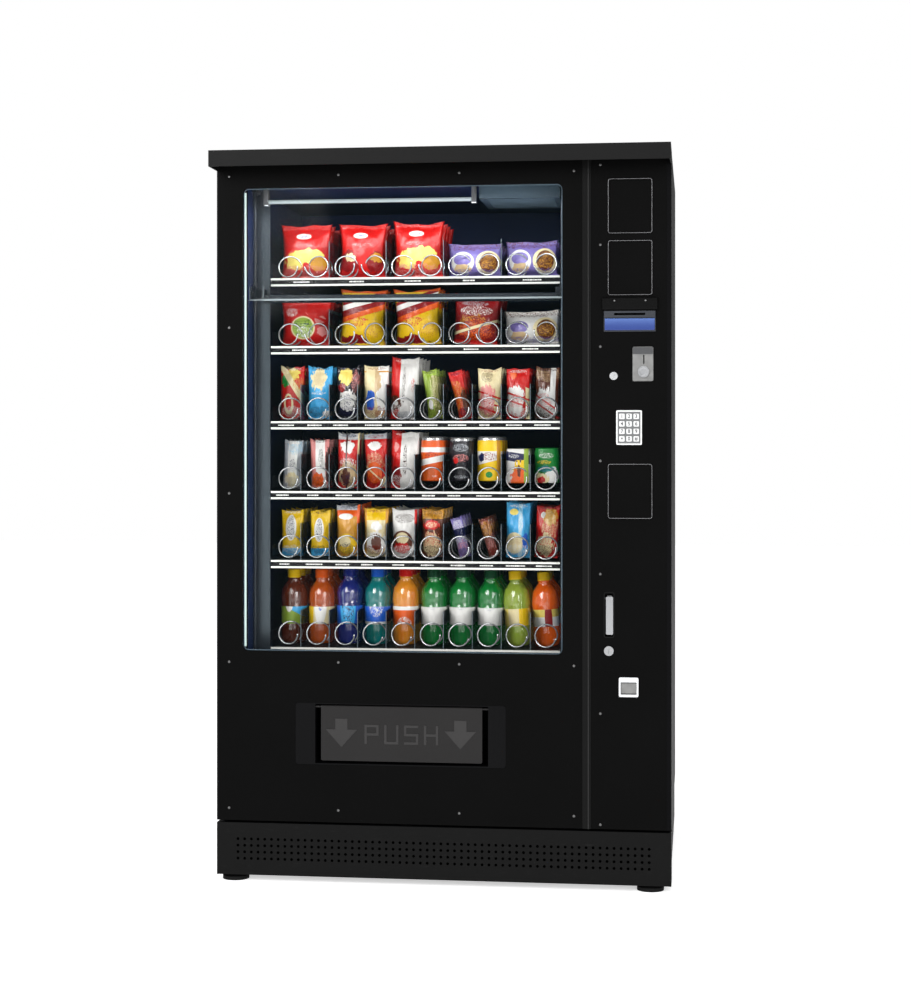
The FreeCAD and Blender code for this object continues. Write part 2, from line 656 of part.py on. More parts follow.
def screw(name, x, z, front, radius="3.2"):
    """A low domed screw head on the plane y = front, with its shank behind."""
    rim = round_bar(name + "_rim", "y", (x, f"{front} - 0.9", z), radius, "0.9")
    dome = cone(name + "_dome", "y", (x, f"{front} - 2", z), f"{radius} * 0.55", radius, "1.1")
    shank = round_bar(name + "_shank", "y", (x, front, z), f"{radius} * 0.5", "2.6")
    return fuse(name, [rim, dome, shank])


def panel_screws():
    """Screw heads round the window sheet and down the payment column."""
    places = [place for sheet in ("window", "control") for place in PANEL_SCREWS[sheet]]
    heads = [screw(f"panel_screw_{n}", x, z, "door_front") for n, (x, z) in enumerate(places, start=1)]
    return node("panel_screws", group("panel_screw_set", heads))


def blank_plates():
    """Three blanking plates with raised side edges, over unused payment openings."""
    plates = []
    for number, middle in enumerate((1687.5, 1535.5, 986), start=1):
        face = block(f"blank_face_{number}", around("column_x", "plate_width"),
                     ("door_front - 2.5", "door_front"),
                     around(str(middle), "plate_height"))
        face = rounded(f"blank_round_{number}", face, "y", "7")
        dish = block(f"blank_dish_{number}", around("column_x", "plate_width - 12"),
                     ("door_front - 3", "door_front - 1.2"), around(str(middle), "plate_height - 12"))
        dish = rounded(f"blank_dish_round_{number}", dish, "y", "5")
        plates.append(cut(f"blank_plate_{number}", face, [dish]))
    return node("blank_plates", group("blank_plate_set", plates))


def bill_hood():
    """Black rain hood over the note slot, held by two screws."""
    plate = block("hood_plate", ("401.5", "535.5"), ("door_front - 9", "door_front"), ("1431", "1462"))
    plate = rounded("hood_round", plate, "x", "5", (9, 10))
    heads = [screw(f"hood_screw_{n}", x, "1455", "door_front - 9", "2.6")
             for n, x in enumerate(("427.5", "509.5"), start=1)]
    return fuse("hood", [plate] + heads)


def bill_bezel():
    """Note slot lips with the stacker mouth behind, over the lit strip."""
    lips = block("bezel_lips", ("405", "531"), ("door_front - 6", "-340"), ("1413", "1429"))
    slot = block("bezel_slot", ("430", "506"), ("door_front - 7", "-339"), ("1418.5", "1424"))
    frame = block("bezel_frame", ("404.5", "531.5"), ("door_front - 1", "-374"), ("1378.5", "1413"))
    seat = block("bezel_seat", ("406.5", "529.5"), ("door_front - 2", "-376"), ("1381.5", "1411.5"))
    body = cut("bezel_solid", fuse("bezel_blank", [lips, frame]), [slot, seat])
    return node("bill_bezel", group("bezel_set", [body, bill_hood(), bill_lamp()]))


def bill_lamp():
    """Lit strip under the note slot."""
    lens = block("lamp_lens", ("407", "529"), ("door_front - 2.5", "-377"), ("1382", "1411"))
    return rounded("lamp_lens_round", lens, "x", "1.5", (9, 10))


def bill_validator():
    """Note validator and its stacker box, behind the payment column."""
    head = block("validator_head", ("412", "524"), ("-339.5", "-250"), ("1385", "1440"))
    stacker = block("validator_stacker", ("418", "518"), ("-330", "-262"), ("1440", "1690"))
    return fuse("validator", [head, stacker])


def coin_plate():
    """Chrome coin entry plate with its slot, and the seat of the return button."""
    plate = block("coin_face", around("coin_x", "50.5"), ("door_front - 3", "door_front"), ("1256.5", "1341"))
    plate = rounded("coin_face_round", plate, "y", "4")
    lip = block("coin_ledge", around("coin_x", "46"), ("door_front - 5", "door_front - 2"), ("1259", "1263"))
    chute = block("coin_chute", ("489", "515"), ("door_front", "-352"), ("1296", "1330"))
    slot = block("coin_slot", ("501.2", "504.2"), ("door_front - 4", "-351"), ("1299", "1321"))
    seat = round_bar("coin_button_hole", "y", ("502", "door_front - 6", "1279.5"), "14.3", "12")
    return node("coin_plate", cut("coin_entry", fuse("coin_blank", [plate, lip, chute]), [slot, seat]))


def coin_return_button():
    """Round coin return button in the coin plate."""
    cap = round_bar("return_cap", "y", ("502", "door_front - 7", "1279.5"), "14", "13")
    dish = cone("return_dish", "y", ("502", "door_front - 7.5", "1279.5"), "11", "8", "1.6")
    return node("coin_return_button", cut("return_button", cap, [dish]))


def coin_changer():
    """Coin mechanism with its tube cassette, behind the payment column."""
    head = block("changer_head", ("400", "538"), ("-350", "-252"), ("1200", "1255"))
    cassette = block("changer_cassette", ("404", "534"), ("-345", "-262"), ("1086", "1200"))
    notch = block("changer_notch", ("434", "500"), ("-360", "-340"), ("1080", "1190"))
    chute = block("changer_chute", ("452", "480"), ("-330", "-300"), ("724", "1086"))
    cassette = cut("changer_tubes", cassette, [notch])
    return fuse("changer", [head, cassette, chute])


def cash_box():
    """Open coin box of five plates on a shelf at the bottom of the payment column."""
    long = ("404", "540")
    inner = ("-337 + weld_gap", "-243 - weld_gap")
    high = ("603 + weld_gap", "720")
    return [
        block("cash_floor", long, ("-340", "-240"), ("600", "603")),
        block("cash_front", long, ("-340", "-337"), high),
        block("cash_back", long, ("-243", "-240"), high),
        block("cash_left", ("404", "407"), inner, high),
        block("cash_right", ("537", "540"), inner, high),
    ]


def keypad_plate():
    """Keypad bezel with a raised rim and a seat for each key."""
    rim = block("keypad_rim", ("435", "498"), ("door_front - 2", "door_front"), ("1100", "1185"))
    body = block("keypad_body", ("437.4", "495.6"), ("door_front - 1", "door_front + 6"),
                 ("1102.4", "1182.6"))
    face = fuse("keypad_face",
                [rounded("keypad_rim_round", rim, "y", "3"), rounded("keypad_body_round", body, "y", "3")])
    dish = block("keypad_dish", ("438.5", "494.5"), ("door_front - 3", "door_front - 0.8"),
                 ("1103.5", "1181.5"))
    seats = [block(f"keypad_seat_{n}", around(x, "14.2"), ("door_front - 3", "door_front + 7"),
                   around(z, "14.2"))
             for n, (_, x, z) in enumerate(key_places(), start=1)]
    return node("keypad_plate", cut("keypad", face, [dish] + [group("keypad_seats", seats)]))


def key_places():
    """Each key's name, X and Z, in a telephone's order."""
    names = ("1", "2", "3", "4", "5", "6", "7", "8", "9", "star", "0", "hash")
    return [(f"key_{name}", f"keypad_x + {17.5 * (n % 3 - 1)}", f"{1170 - 18.4 * (n // 3)}")
            for n, name in enumerate(names)]


def key_set():
    """Twelve sprung keys."""
    for label, x, z in key_places():
        cap = block(label + "_cap", around(x, "13.4"), ("door_front - 2.6", "door_front + 4"),
                    around(z, "13.4"))
        node(label, rounded(label + "_round", cap, "y", "2"))


def service_lock():
    """Small cam lock beside the coin plate: barrel, key slot and cam."""
    barrel = round_bar("service_barrel", "y", ("428.7", "door_front - 3", "1269.5"), "9.8", "28")
    slot = block("service_slot", ("427.9", "429.5"), ("door_front - 4", "door_front - 1"), ("1265", "1274"))
    cam = block("service_cam", ("423", "434"), ("door_front + 21", "door_front + 24"), ("1238", "1275"))
    return node("service_lock", cut("service", fuse("service_blank", [barrel, cam]), [slot]))


def handle_housing():
    """Recessed dish of the door handle."""
    flange = block("handle_flange", ("handle_left", "handle_right"), ("door_front - 1.5", "door_front"),
                   ("handle_low", "handle_high"))
    flange = rounded("handle_flange_round", flange, "y", "6")
    dish = block("handle_dish", ("handle_left + 1.5", "handle_right - 1.5"), ("door_front - 0.5", "-352"),
                 ("handle_low + 1.5", "handle_high - 1.5"))
    dish = rounded("handle_dish_round", dish, "y", "4.5")
    room = block("handle_room", ("handle_left + 3", "handle_right - 3"), ("door_front - 3", "-355"),
                 ("handle_low + 3", "handle_high - 3"))
    room = rounded("handle_room_round", room, "y", "3")
    bore = round_bar("handle_bore", "x", ("405", "-368", "722"), "2.56", "25")
    return node("handle_housing", cut("handle_pan", fuse("handle_blank", [flange, dish]),
                                      [fuse("handle_hollow", [room, bore])]))


def lock_handle():
    """Grip that tips out of the dish about a cross pin near its top."""
    grip = block("handle_grip", ("410", "427.3"), ("door_front - 1", "-373"), ("633", "726"))
    grip = rounded("handle_grip_round", grip, "y", "3")
    tail = block("handle_tail", ("413", "424"), ("-374", "-363"), ("716", "728"))
    eye = round_bar("handle_eye", "x", ("406", "-368", "722"), "2.5", "23")
    return node("lock_handle", fuse("handle_lever", [grip, tail, eye]))


def handle_lock():
    """Key cylinder under the handle, with a keyway and a cam."""
    collar = round_bar("lock_collar", "y", ("417", "door_front - 4", "593"), "11.8", "30")
    slot = block("lock_keyway", ("416", "418"), ("door_front - 5", "door_front - 1"), ("588", "598"))
    cam = block("lock_cam", ("411", "423"), ("-356", "-353"), ("560", "600"))
    return node("handle_lock", cut("cylinder", fuse("cylinder_blank", [collar, cam]), [slot]))


def coin_cup():
    """Chrome coin return cup with a hooded top."""
    rim = block("cup_rim", ("cup_left", "cup_right"), ("door_front - 3", "door_front"),
                ("cup_low", "cup_high"))
    rim = rounded("cup_rim_round", rim, "y", "4")
    tub = block("cup_tub", ("cup_left + 2", "cup_right - 2"), ("door_front - 1", "-350"),
                ("cup_low + 2", "cup_high - 2"))
    tub = rounded("cup_tub_round", tub, "y", "3")
    room = block("cup_room", ("cup_left + 4.5", "cup_right - 4.5"), ("door_front - 4", "-353"),
                 ("cup_low + 6", "cup_high - 12"))
    chute = block("cup_chute", ("455", "477"), ("-372", "-349"), ("496", "514"))
    return node("coin_cup", cut("cup", fuse("cup_blank", [rim, tub]), [fuse("cup_hollow", [room, chute])]))


def coin_flap():
    """Swinging flap inside the coin return cup."""
    leaf = block("coin_leaf", ("cup_left + 5", "cup_right - 5"), ("-380", "-378.5"), ("488.5", "513"))
    eye = round_bar("coin_leaf_eye", "x", ("cup_left + 5", "-379.2", "513"), "1.6", "38")
    return node("coin_flap", fuse("coin_door", [leaf, eye]))


def hatch_housing():
    """Frame of the delivery hatch: side cheeks, sill and head round a tunnel through the door."""
    outer = block("hatch_outer", ("hatch_left + 0.4", "hatch_right - 0.4"),
                  ("door_front + 1", "door_back - 1"),
                  ("hatch_low + 0.4", "hatch_high - 0.4"))
    outer = rounded("hatch_outer_round", outer, "y", "8")
    tunnel = block("hatch_tunnel", ("-318", "118"), ("door_front", "door_back"),
                   ("hatch_low + 4", "hatch_high - 3"))
    dishes = [
        block("hatch_left_dish", ("hatch_left + 5", "-323"), ("door_front + 4", "door_back"),
              ("hatch_low + 4", "hatch_high - 4")),
        block("hatch_right_dish", ("123", "hatch_right - 5"), ("door_front + 4", "door_back"),
              ("hatch_low + 4", "hatch_high - 4")),
    ]
    bore = round_bar("hatch_bore", "x", ("-321", "-375", "flap_high - 6"), "2.56", "442")
    return node("hatch_housing", cut("hatch", outer, [fuse("hatch_hollow", [tunnel, bore])] + dishes))


def arrow(name, middle, depth):
    """A raised arrow pointing down: a stem over a triangular head."""
    stem = block(name + "_stem", around(str(middle), "31"), depth, ("386", "414"))
    span = 39.5
    low, high = 343, 387
    front, back = (size(text) for text in depth)
    points = [(middle - span, high), (middle + span, high), (middle, low), (middle - span, high)]
    face = Part.Face(Part.makePolygon([FreeCAD.Vector(x, front, z) for x, z in points]))
    head = document.addObject("Part::Feature", name + "_head")
    head.Shape = face.extrude(FreeCAD.Vector(0, back - front, 0))
    return fuse(name, [stem, head])


# Strokes of the word on the hatch, each from one point to the next, in letter widths and heights.
LETTER_STROKES = {
    "P": (((0, 0), (0, 1)), ((0, 1), (1, 1)), ((1, 1), (1, 0.5)), ((1, 0.5), (0, 0.5))),
    "U": (((0, 1), (0, 0)), ((0, 0), (1, 0)), ((1, 0), (1, 1))),
    "S": (((1, 1), (0, 1)), ((0, 1), (0, 0.5)), ((0, 0.5), (1, 0.5)), ((1, 0.5), (1, 0)), ((1, 0), (0, 0))),
    "H": (((0, 0), (0, 1)), ((1, 0), (1, 1)), ((0, 0.5), (1, 0.5))),
}


def flap_word(depth):
    """The instruction PUSH, as raised square-cut strokes."""
    pitch, wide, high, half = 50, 30, 42, 3
    first, base = -190, 355
    bars = []
    for place, letter in enumerate("PUSH"):
        left = first + pitch * place
        for stroke, ((x0, z0), (x1, z1)) in enumerate(LETTER_STROKES[letter]):
            x_low, x_high = sorted((left + wide * x0, left + wide * x1))
            z_low, z_high = sorted((base + high * z0, base + high * z1))
            bars.append(block(f"word_{letter}_{stroke}", (f"{x_low - half}", f"{x_high + half}"), depth,
                              (f"{z_low - half}", f"{z_high + half}")))
    return bars


def delivery_flap():
    """Push-in hatch flap hung from a rod along its top, with raised arrows and lettering."""
    leaf = block("flap_leaf", ("flap_left", "flap_right"), ("-379", "-375"), ("flap_low", "flap_high - 4"))
    leaf = rounded("flap_leaf_round", leaf, "y", "4")
    rod = round_bar("flap_rod", "x", ("flap_left", "-375", "flap_high - 6"), "4", "flap_right - flap_left")
    ribs = [block(f"flap_rib_{n}", around(x, "3"), ("-376", "-368"), ("flap_low + 8", "flap_high - 10"))
            for n, x in enumerate(("-290", "-100", "90"), start=1)]
    raised = ("-380.2", "-378.5")
    marks = [arrow("left_arrow", -251.5, raised), arrow("right_arrow", 48.5, raised)] + flap_word(raised)
    pins = [round_bar(f"flap_pin_{n}", "x", (x, "-375", "flap_high - 6"), "2.5", "17")
            for n, x in enumerate(("flap_left - 17", "flap_right"), start=1)]
    return node("delivery_flap", fuse("flap", [leaf, rod] + ribs + marks + pins))


# ---------------------------------------------------------------- lift and trays


def lift_platform():
    """Product lift: a shallow pan across the window, carried by a slider on each side."""
    pan = block("lift_pan", ("-490", "283"), ("lift_front", "lift_rear"), ("lift_level", "lift_level + 2"))
    front = block("lift_front_edge", ("-490", "283"), ("lift_front", "lift_front + 2"),
                  ("lift_level", "lift_level + 9"))
    rear = block("lift_rear_edge", ("-490", "283"), ("lift_rear - 2", "lift_rear"),
                 ("lift_level - 6", "lift_level + 2"))
    sliders = []
    for side, x, arm in (("left", "-503", ("-500", "-474")), ("right", "293", ("276", "290"))):
        slider = block(f"slider_{side}", around(x, "13"), ("-264", "-232"), ("lift_level", "lift_level + 34"))
        bore = round_bar(f"slider_bore_{side}", "z", (x, "-248", "lift_level - 1"), "4.06", "36")
        bracket = block(f"lift_bracket_{side}", arm, ("-262", "-234"), ("lift_level", "lift_level + 26"))
        sliders.append(cut(f"slider_{side}_bored", fuse(f"slider_{side}_solid", [slider, bracket]), [bore]))
    return node("lift_platform", fuse("lift", [pan, front, rear] + sliders))


def tray(row, level):
    """One pull-out tray: floor, price rail, walls, lane dividers and a motor behind every spiral."""
    name = f"tray_{row}"
    floor = f"{level} - 2"
    wide = ("tray_left", "tray_right")
    inner_back = "tray_back - 2 - weld_gap"
    pan = block(name + "_floor", wide, ("tray_front + weld_gap", inner_back), (f"{floor} - 1.5", floor))
    rail = [
        block(name + "_rail", wide, ("tray_front - 3", "tray_front"), (f"{level} - rail_height", str(level))),
        block(name + "_rail_top", wide, ("tray_front - 5", "tray_front"),
              (f"{level} - rail_lip", str(level))),
        block(name + "_rail_foot", wide, ("tray_front - 5", "tray_front"),
              (f"{level} - rail_height", f"{level} - rail_height + rail_lip")),
    ]
    walls = [
        block(f"{name}_{side}", across, ("-190", inner_back), (f"{floor} + weld_gap", f"{level} + 40"))
        for side, across in (("left", ("tray_left", "tray_left + 1.5")),
                             ("right", ("tray_right - 1.5", "tray_right")))
    ]
    back = block(name + "_back", wide, ("tray_back - 2", "tray_back"), (f"{floor} - 1.5", f"{level} + 88"))
    step = 2 if row <= WIDE_LANE_TRAYS else 1
    dividers = [
        block(f"{name}_divider_{n}", around(f"tray_left + 2 + lane * {n}", "1.6"), ("-196", "tray_back - 6"),
              (f"{floor} + 0.3", f"{floor} + divider_height"))
        for n in range(step, LANES, step)
    ]
    motors = [
        block(f"{name}_motor_{n}", around(f"tray_left + 2 + lane * {n + 0.5}", "44"),
              ("tray_back", "tray_back + 32"),
              (f"{level} + 8", f"{level} + 62"))
        for n in range(LANES)
    ]
    solids = [pan, fuse(name + "_price_rail", rail),
              fuse(name + "_drives", [back] + motors)] + walls + dividers
    return node(name, group(name + "_set", solids))


def coil(row, level):
    """The driven spiral of a tray's left lane: bent wire in short mitred runs, and its drive hub at the rear."""
    radius = size("spiral_radius - spiral_wire")
    wire = size("spiral_wire")
    length = size("tray_back - 22 - tray_front")
    runs = int(size("spiral_turns")) * SPIRAL_RUNS
    corners = []
    for run in range(runs + 1):
        angle = 2 * math.pi * run / SPIRAL_RUNS
        corners.append(FreeCAD.Vector(radius * math.cos(angle), radius * math.sin(angle),
                                      length * run / runs))
    section = Part.Wire(Part.Circle(corners[0], corners[1] - corners[0], wire).toShape())
    mitred = 1
    body = Part.makePolygon(corners).makePipeShell([section], True, False, mitred)
    seat = length + wire + 0.05
    hub = Part.makeCylinder(radius + wire, 3, FreeCAD.Vector(0, 0, seat))
    shaft = Part.makeCylinder(4, 4, FreeCAD.Vector(0, 0, seat + 3))
    spiral = document.addObject("Part::Feature", f"coil_{row}")
    spiral.Shape = Part.makeCompound([body, hub.fuse(shaft)])
    middle = FreeCAD.Vector(size("tray_left + 2 + lane / 2"), size("tray_front") + 10,
                            level + size("spiral_lift"))
    spiral.Placement = FreeCAD.Placement(middle, AXES["y"])
    return node(f"coil_{row}", spiral)


def payment_units():
    """The note validator, the coin changer and the cash box, on the inside of the door."""
    return node("payment_units", group("payment_set", [bill_validator(), coin_changer()] + cash_box()))


ROOT_PARTS = (cabinet_shell, inner_liner, base_frame, levelling_feet, kick_plate, cooling_unit, condenser_fan,
              evaporator_box, light_tube, lift_rails, delivery_bin, control_box, door_hinges)
DOOR_PARTS = (door_frame, window_panel, control_panel, centre_post, door_canopy, window_glass, door_seal,
              panel_screws, blank_plates, bill_bezel, payment_units, coin_plate, coin_return_button, keypad_plate,
              key_set, service_lock, handle_housing, lock_handle, handle_lock, coin_cup, coin_flap, hatch_housing,
              delivery_flap)

for make in ROOT_PARTS + DOOR_PARTS + (lift_platform,):
    make()
for tray_number, tray_level in enumerate(TRAY_LEVELS, start=1):
    tray(tray_number, tray_level)
    coil(tray_number, tray_level)
document.recompute()

failed = [thing.Label for thing in document.Objects if {"Invalid", "Error"} & set(thing.State)]
if failed:
    raise RuntimeError(f"objects that did not recompute: {failed}")
for label, thing in nodes.items():
    if thing.Shape.isNull() or not thing.Shape.isValid() or not thing.Shape.Solids:
        raise RuntimeError(f"{label} has no valid solid")
    print(f"{label}: {len(thing.Shape.Solids)} solids, {thing.Shape.Volume / 1000:.1f} cm3")

os.makedirs("parts", exist_ok=True)
for label, thing in nodes.items():
    thing.Shape.exportStep(os.path.join("parts", label + ".step"))
print(len(nodes), "nodes")
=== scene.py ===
import math
import random

import bmesh
import bpy
from mathutils import Matrix, Vector, noise


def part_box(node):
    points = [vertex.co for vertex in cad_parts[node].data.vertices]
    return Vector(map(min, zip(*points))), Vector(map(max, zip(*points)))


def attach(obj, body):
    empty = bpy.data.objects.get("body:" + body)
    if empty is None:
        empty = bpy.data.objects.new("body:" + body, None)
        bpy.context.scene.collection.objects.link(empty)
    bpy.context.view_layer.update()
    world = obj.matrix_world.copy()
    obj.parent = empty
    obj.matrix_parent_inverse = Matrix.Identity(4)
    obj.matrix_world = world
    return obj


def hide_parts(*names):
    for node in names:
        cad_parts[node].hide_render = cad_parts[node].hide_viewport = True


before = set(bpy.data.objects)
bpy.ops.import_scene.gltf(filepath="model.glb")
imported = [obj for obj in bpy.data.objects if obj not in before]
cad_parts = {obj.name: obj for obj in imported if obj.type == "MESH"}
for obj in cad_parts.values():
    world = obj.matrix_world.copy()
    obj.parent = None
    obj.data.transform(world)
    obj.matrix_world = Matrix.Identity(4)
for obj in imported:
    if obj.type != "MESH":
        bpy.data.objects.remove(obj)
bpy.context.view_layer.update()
rng = random.Random(7)
MM = 0.001

# The trays: the height of each floor, and which lanes are double ones with two spirals.
TRAY_LEVELS = (1533, 1356, 1160.5, 978.5, 799, 572)
WIDE_TRAYS = 2
LANES = 10
LANE = 75
FIRST_LANE = -430.5
RAIL_HEIGHT, RAIL_LIP = 21, 5
RAIL_FACE, STRIP_BACK, STRIP_FRONT = -202.5, -205.1, -206.0
DIVIDER_FRONT, DIVIDER_BACK = -195.9, 296
LINER_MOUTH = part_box("inner_liner")[0][1] / MM + 2
WINDOW_LEFT, WINDOW_RIGHT, WINDOW_LOW, WINDOW_HIGH = -504, 302.5, 581, 1746
FILTER_FRONT = -350
SPIRAL_FRONT, SPIRAL_LENGTH, SPIRAL_TURNS = -192, 480, 8
SPIRAL_RADIUS, SPIRAL_WIRE, SPIRAL_LIFT = 28, 2, 33.5
HUB_SIDES = 32
FACING = Matrix.Rotation(math.radians(90), 4, "X")

COLOURS = {
    "black": (10, 10, 11), "ink": (24, 20, 30), "navy": (22, 26, 72), "blue": (26, 92, 200),
    "deep blue": (22, 34, 120), "sky": (60, 170, 228), "pale blue": (150, 205, 232), "teal": (8, 128, 134),
    "green": (14, 132, 48), "dark green": (8, 66, 34), "lime": (150, 178, 60), "olive": (126, 136, 48),
    "yellow": (240, 196, 8), "pale yellow": (244, 220, 110), "gold": (212, 150, 40), "orange": (232, 92, 14),
    "amber": (196, 84, 10), "tea": (98, 38, 14), "brown": (96, 44, 22), "cocoa": (58, 26, 18),
    "red": (206, 22, 18), "dark red": (138, 14, 18), "pink": (222, 136, 132), "lilac": (126, 112, 182),
    "cream": (236, 220, 172), "beige": (206, 176, 132), "white": (236, 234, 230), "silver": (176, 180, 186),
}


def linear(red, green, blue):
    """An sRGB colour in 0-255 as the linear RGBA that Blender's sockets take."""
    values = []
    for part in (red, green, blue):
        part /= 255
        values.append(part / 12.92 if part <= 0.04045 else ((part + 0.055) / 1.055) ** 2.4)
    return (*values, 1.0)


def named(colour):
    return linear(*COLOURS[colour])


class Paint:
    """One procedural material. Its methods add nodes and return the socket that holds the result."""

    def __init__(self, name):
        self.material = bpy.data.materials.new(name)
        self.material.use_nodes = True
        self.tree = self.material.node_tree
        self.shader = self.tree.nodes["Principled BSDF"]
        self.place = self.tree.nodes.new("ShaderNodeTexCoord")

    def put(self, socket, value):
        if isinstance(value, bpy.types.NodeSocket):
            self.tree.links.new(value, socket)
        else:
            socket.default_value = value

    def set(self, **values):
        for key, value in values.items():
            self.put(self.shader.inputs[key.replace("_", " ")], value)

    def math(self, operation, first, second=0.0, third=0.0, clamp=False):
        made = self.tree.nodes.new("ShaderNodeMath")
        made.operation = operation
        made.use_clamp = clamp
        for socket, value in zip(made.inputs, (first, second, third)):
            self.put(socket, value)
        return made.outputs[0]

    def mix(self, amount, first, second, blend="MIX"):
        made = self.tree.nodes.new("ShaderNodeMix")
        made.data_type = "RGBA"
        made.blend_type = blend
        for index, value in ((0, amount), (6, first), (7, second)):
            self.put(made.inputs[index], value)
        return made.outputs[2]

    def noise(self, scale, detail=3.0, stretch=(1, 1, 1), place="Object"):
        mapping = self.tree.nodes.new("ShaderNodeMapping")
        self.put(mapping.inputs["Vector"], self.place.outputs[place])
        mapping.inputs["Scale"].default_value = stretch
        made = self.tree.nodes.new("ShaderNodeTexNoise")
        self.put(made.inputs["Vector"], mapping.outputs[0])
        made.inputs["Scale"].default_value = scale
        made.inputs["Detail"].default_value = detail
        return made.outputs["Fac"]

    def across(self):
        """The place across the piece and up it, each from 0 to 1."""
        split = self.tree.nodes.new("ShaderNodeSeparateXYZ")
        self.put(split.inputs[0], self.place.outputs["Generated"])
        return split.outputs["X"], split.outputs["Z"]

    def bump(self, height, strength, distance=0.001, under=None):
        made = self.tree.nodes.new("ShaderNodeBump")
        made.inputs["Strength"].default_value = strength
        made.inputs["Distance"].default_value = distance
        self.put(made.inputs["Height"], height)
        if under is not None:
            self.put(made.inputs["Normal"], under)
        return made.outputs[0]

    def between(self, value, low, high, soft=0.004):
        """1 where value lies between low and high, falling to 0 over a soft edge."""
        middle = (low + high) / 2
        away = self.math("ABSOLUTE", self.math("SUBTRACT", value, middle))
        inside = self.math("SUBTRACT", (high - low) / 2, away)
        return self.math("DIVIDE", inside, soft, clamp=True)


def finish(name, colour, rough, metal=0.0, specular=0.5, tint=0.12, patch=7, grain=1400, bump=0.12,
           stretch=(1, 1, 1), scuff=0.0, glow=0.0, coat=0.0, alpha=1.0):
    """A painted, moulded or metal surface: uneven colour and gloss, a fine grain, and scuffs that dull it."""
    paint = Paint(name)
    broad = paint.noise(patch, 4.0)
    fine = paint.noise(grain, 2.0, stretch)
    base = linear(*colour)
    dark = tuple(part * (1 - tint) for part in base[:3]) + (1.0,)
    light = tuple(min(1.0, part * (1 + tint)) for part in base[:3]) + (1.0,)
    shade = paint.mix(broad, dark, light)
    gloss = paint.math("MULTIPLY_ADD", broad, 0.16, rough - 0.08)
    if scuff:
        streaks = paint.noise(34, 6.0, (1, 1, 5))
        worn = paint.math("MULTIPLY", paint.math("SUBTRACT", streaks, 0.6), 5.0, clamp=True)
        worn = paint.math("MULTIPLY", worn, scuff)
        grey = tuple(0.6 * part + 0.06 for part in base[:3]) + (1.0,)
        shade = paint.mix(worn, shade, grey)
        gloss = paint.math("ADD", gloss, paint.math("MULTIPLY", worn, 0.3))
    paint.set(Base_Color=shade, Roughness=gloss, Metallic=metal, Specular_IOR_Level=specular)
    paint.set(Normal=paint.bump(fine, bump, 0.0003), Coat_Weight=coat, Alpha=alpha)
    if glow:
        paint.set(Emission_Color=base, Emission_Strength=glow)
    return paint.material


def finishes(looks):
    """A finish for each name, from its colour, roughness and whatever else differs from the usual."""
    return {name: finish(name, colour, rough, **more) for name, (colour, rough, more) in looks.items()}


FINISHES = finishes({
    "cabinet_black": ((9, 9, 10), 0.5, dict(specular=0.04, scuff=0.06, bump=0.2)),
    "panel_black": ((6, 6, 6), 0.48, dict(specular=0.025, grain=1800, bump=0.12, tint=0.2)),
    "frame_black": ((7, 7, 8), 0.5, dict(specular=0.03)),
    "canopy_black": ((15, 15, 15), 0.5, dict(specular=0.08, bump=0.25)),
    "kick_grey": ((12, 12, 12), 0.5, dict(specular=0.06, scuff=0.08)),
    "trim_grey": ((12, 12, 12), 0.42, dict(specular=0.06)),
    "liner": ((31, 47, 84), 0.5, dict(specular=0.12, grain=600, bump=0.25)),
    "evaporator_blue": ((66, 86, 100), 0.42, dict(tint=0.06)),
    "zinc": ((112, 116, 120), 0.42, dict(metal=0.7, tint=0.2, patch=60)),
    "screw_steel": ((96, 96, 96), 0.36, dict(metal=0.8)),
    "satin_steel": ((150, 151, 153), 0.34, dict(metal=0.85, stretch=(0.02, 1, 1), bump=0.2)),
    "foot_rubber": ((14, 14, 14), 0.75, dict(specular=0.1, bump=0.4, grain=500)),
    "seal_rubber": ((40, 43, 46), 0.6, dict(specular=0.2, bump=0.2)),
    "plastic_black": ((8, 8, 9), 0.45, dict(specular=0.05, bump=0.3)),
    "plastic_grey": ((92, 94, 97), 0.45, dict(bump=0.3)),
    "flap_black": ((26, 25, 25), 0.38, dict(specular=0.14, bump=0.2)),
    "cooling_metal": ((110, 112, 114), 0.42, dict(metal=0.8, tint=0.2)),
    "lamp": ((158, 170, 174), 0.4, dict(glow=0.35)),
    "rail_grey": ((46, 52, 60), 0.42, dict(metal=0.4, stretch=(1, 1, 0.02))),
    "chrome": ((205, 206, 208), 0.24, dict(metal=0.75, stretch=(0.03, 1, 1), tint=0.08, patch=90)),
    "silver": ((204, 205, 205), 0.36, dict(metal=0.3, stretch=(0.03, 1, 1), tint=0.06)),
    "lift_white": ((30, 37, 44), 0.4, dict(specular=0.2, scuff=0.1)),
    "tray_metal": ((18, 20, 24), 0.45, dict(specular=0.12, scuff=0.1)),
    "coil_steel": ((206, 208, 210), 0.24, dict(metal=0.7, tint=0.08, patch=90)),
})
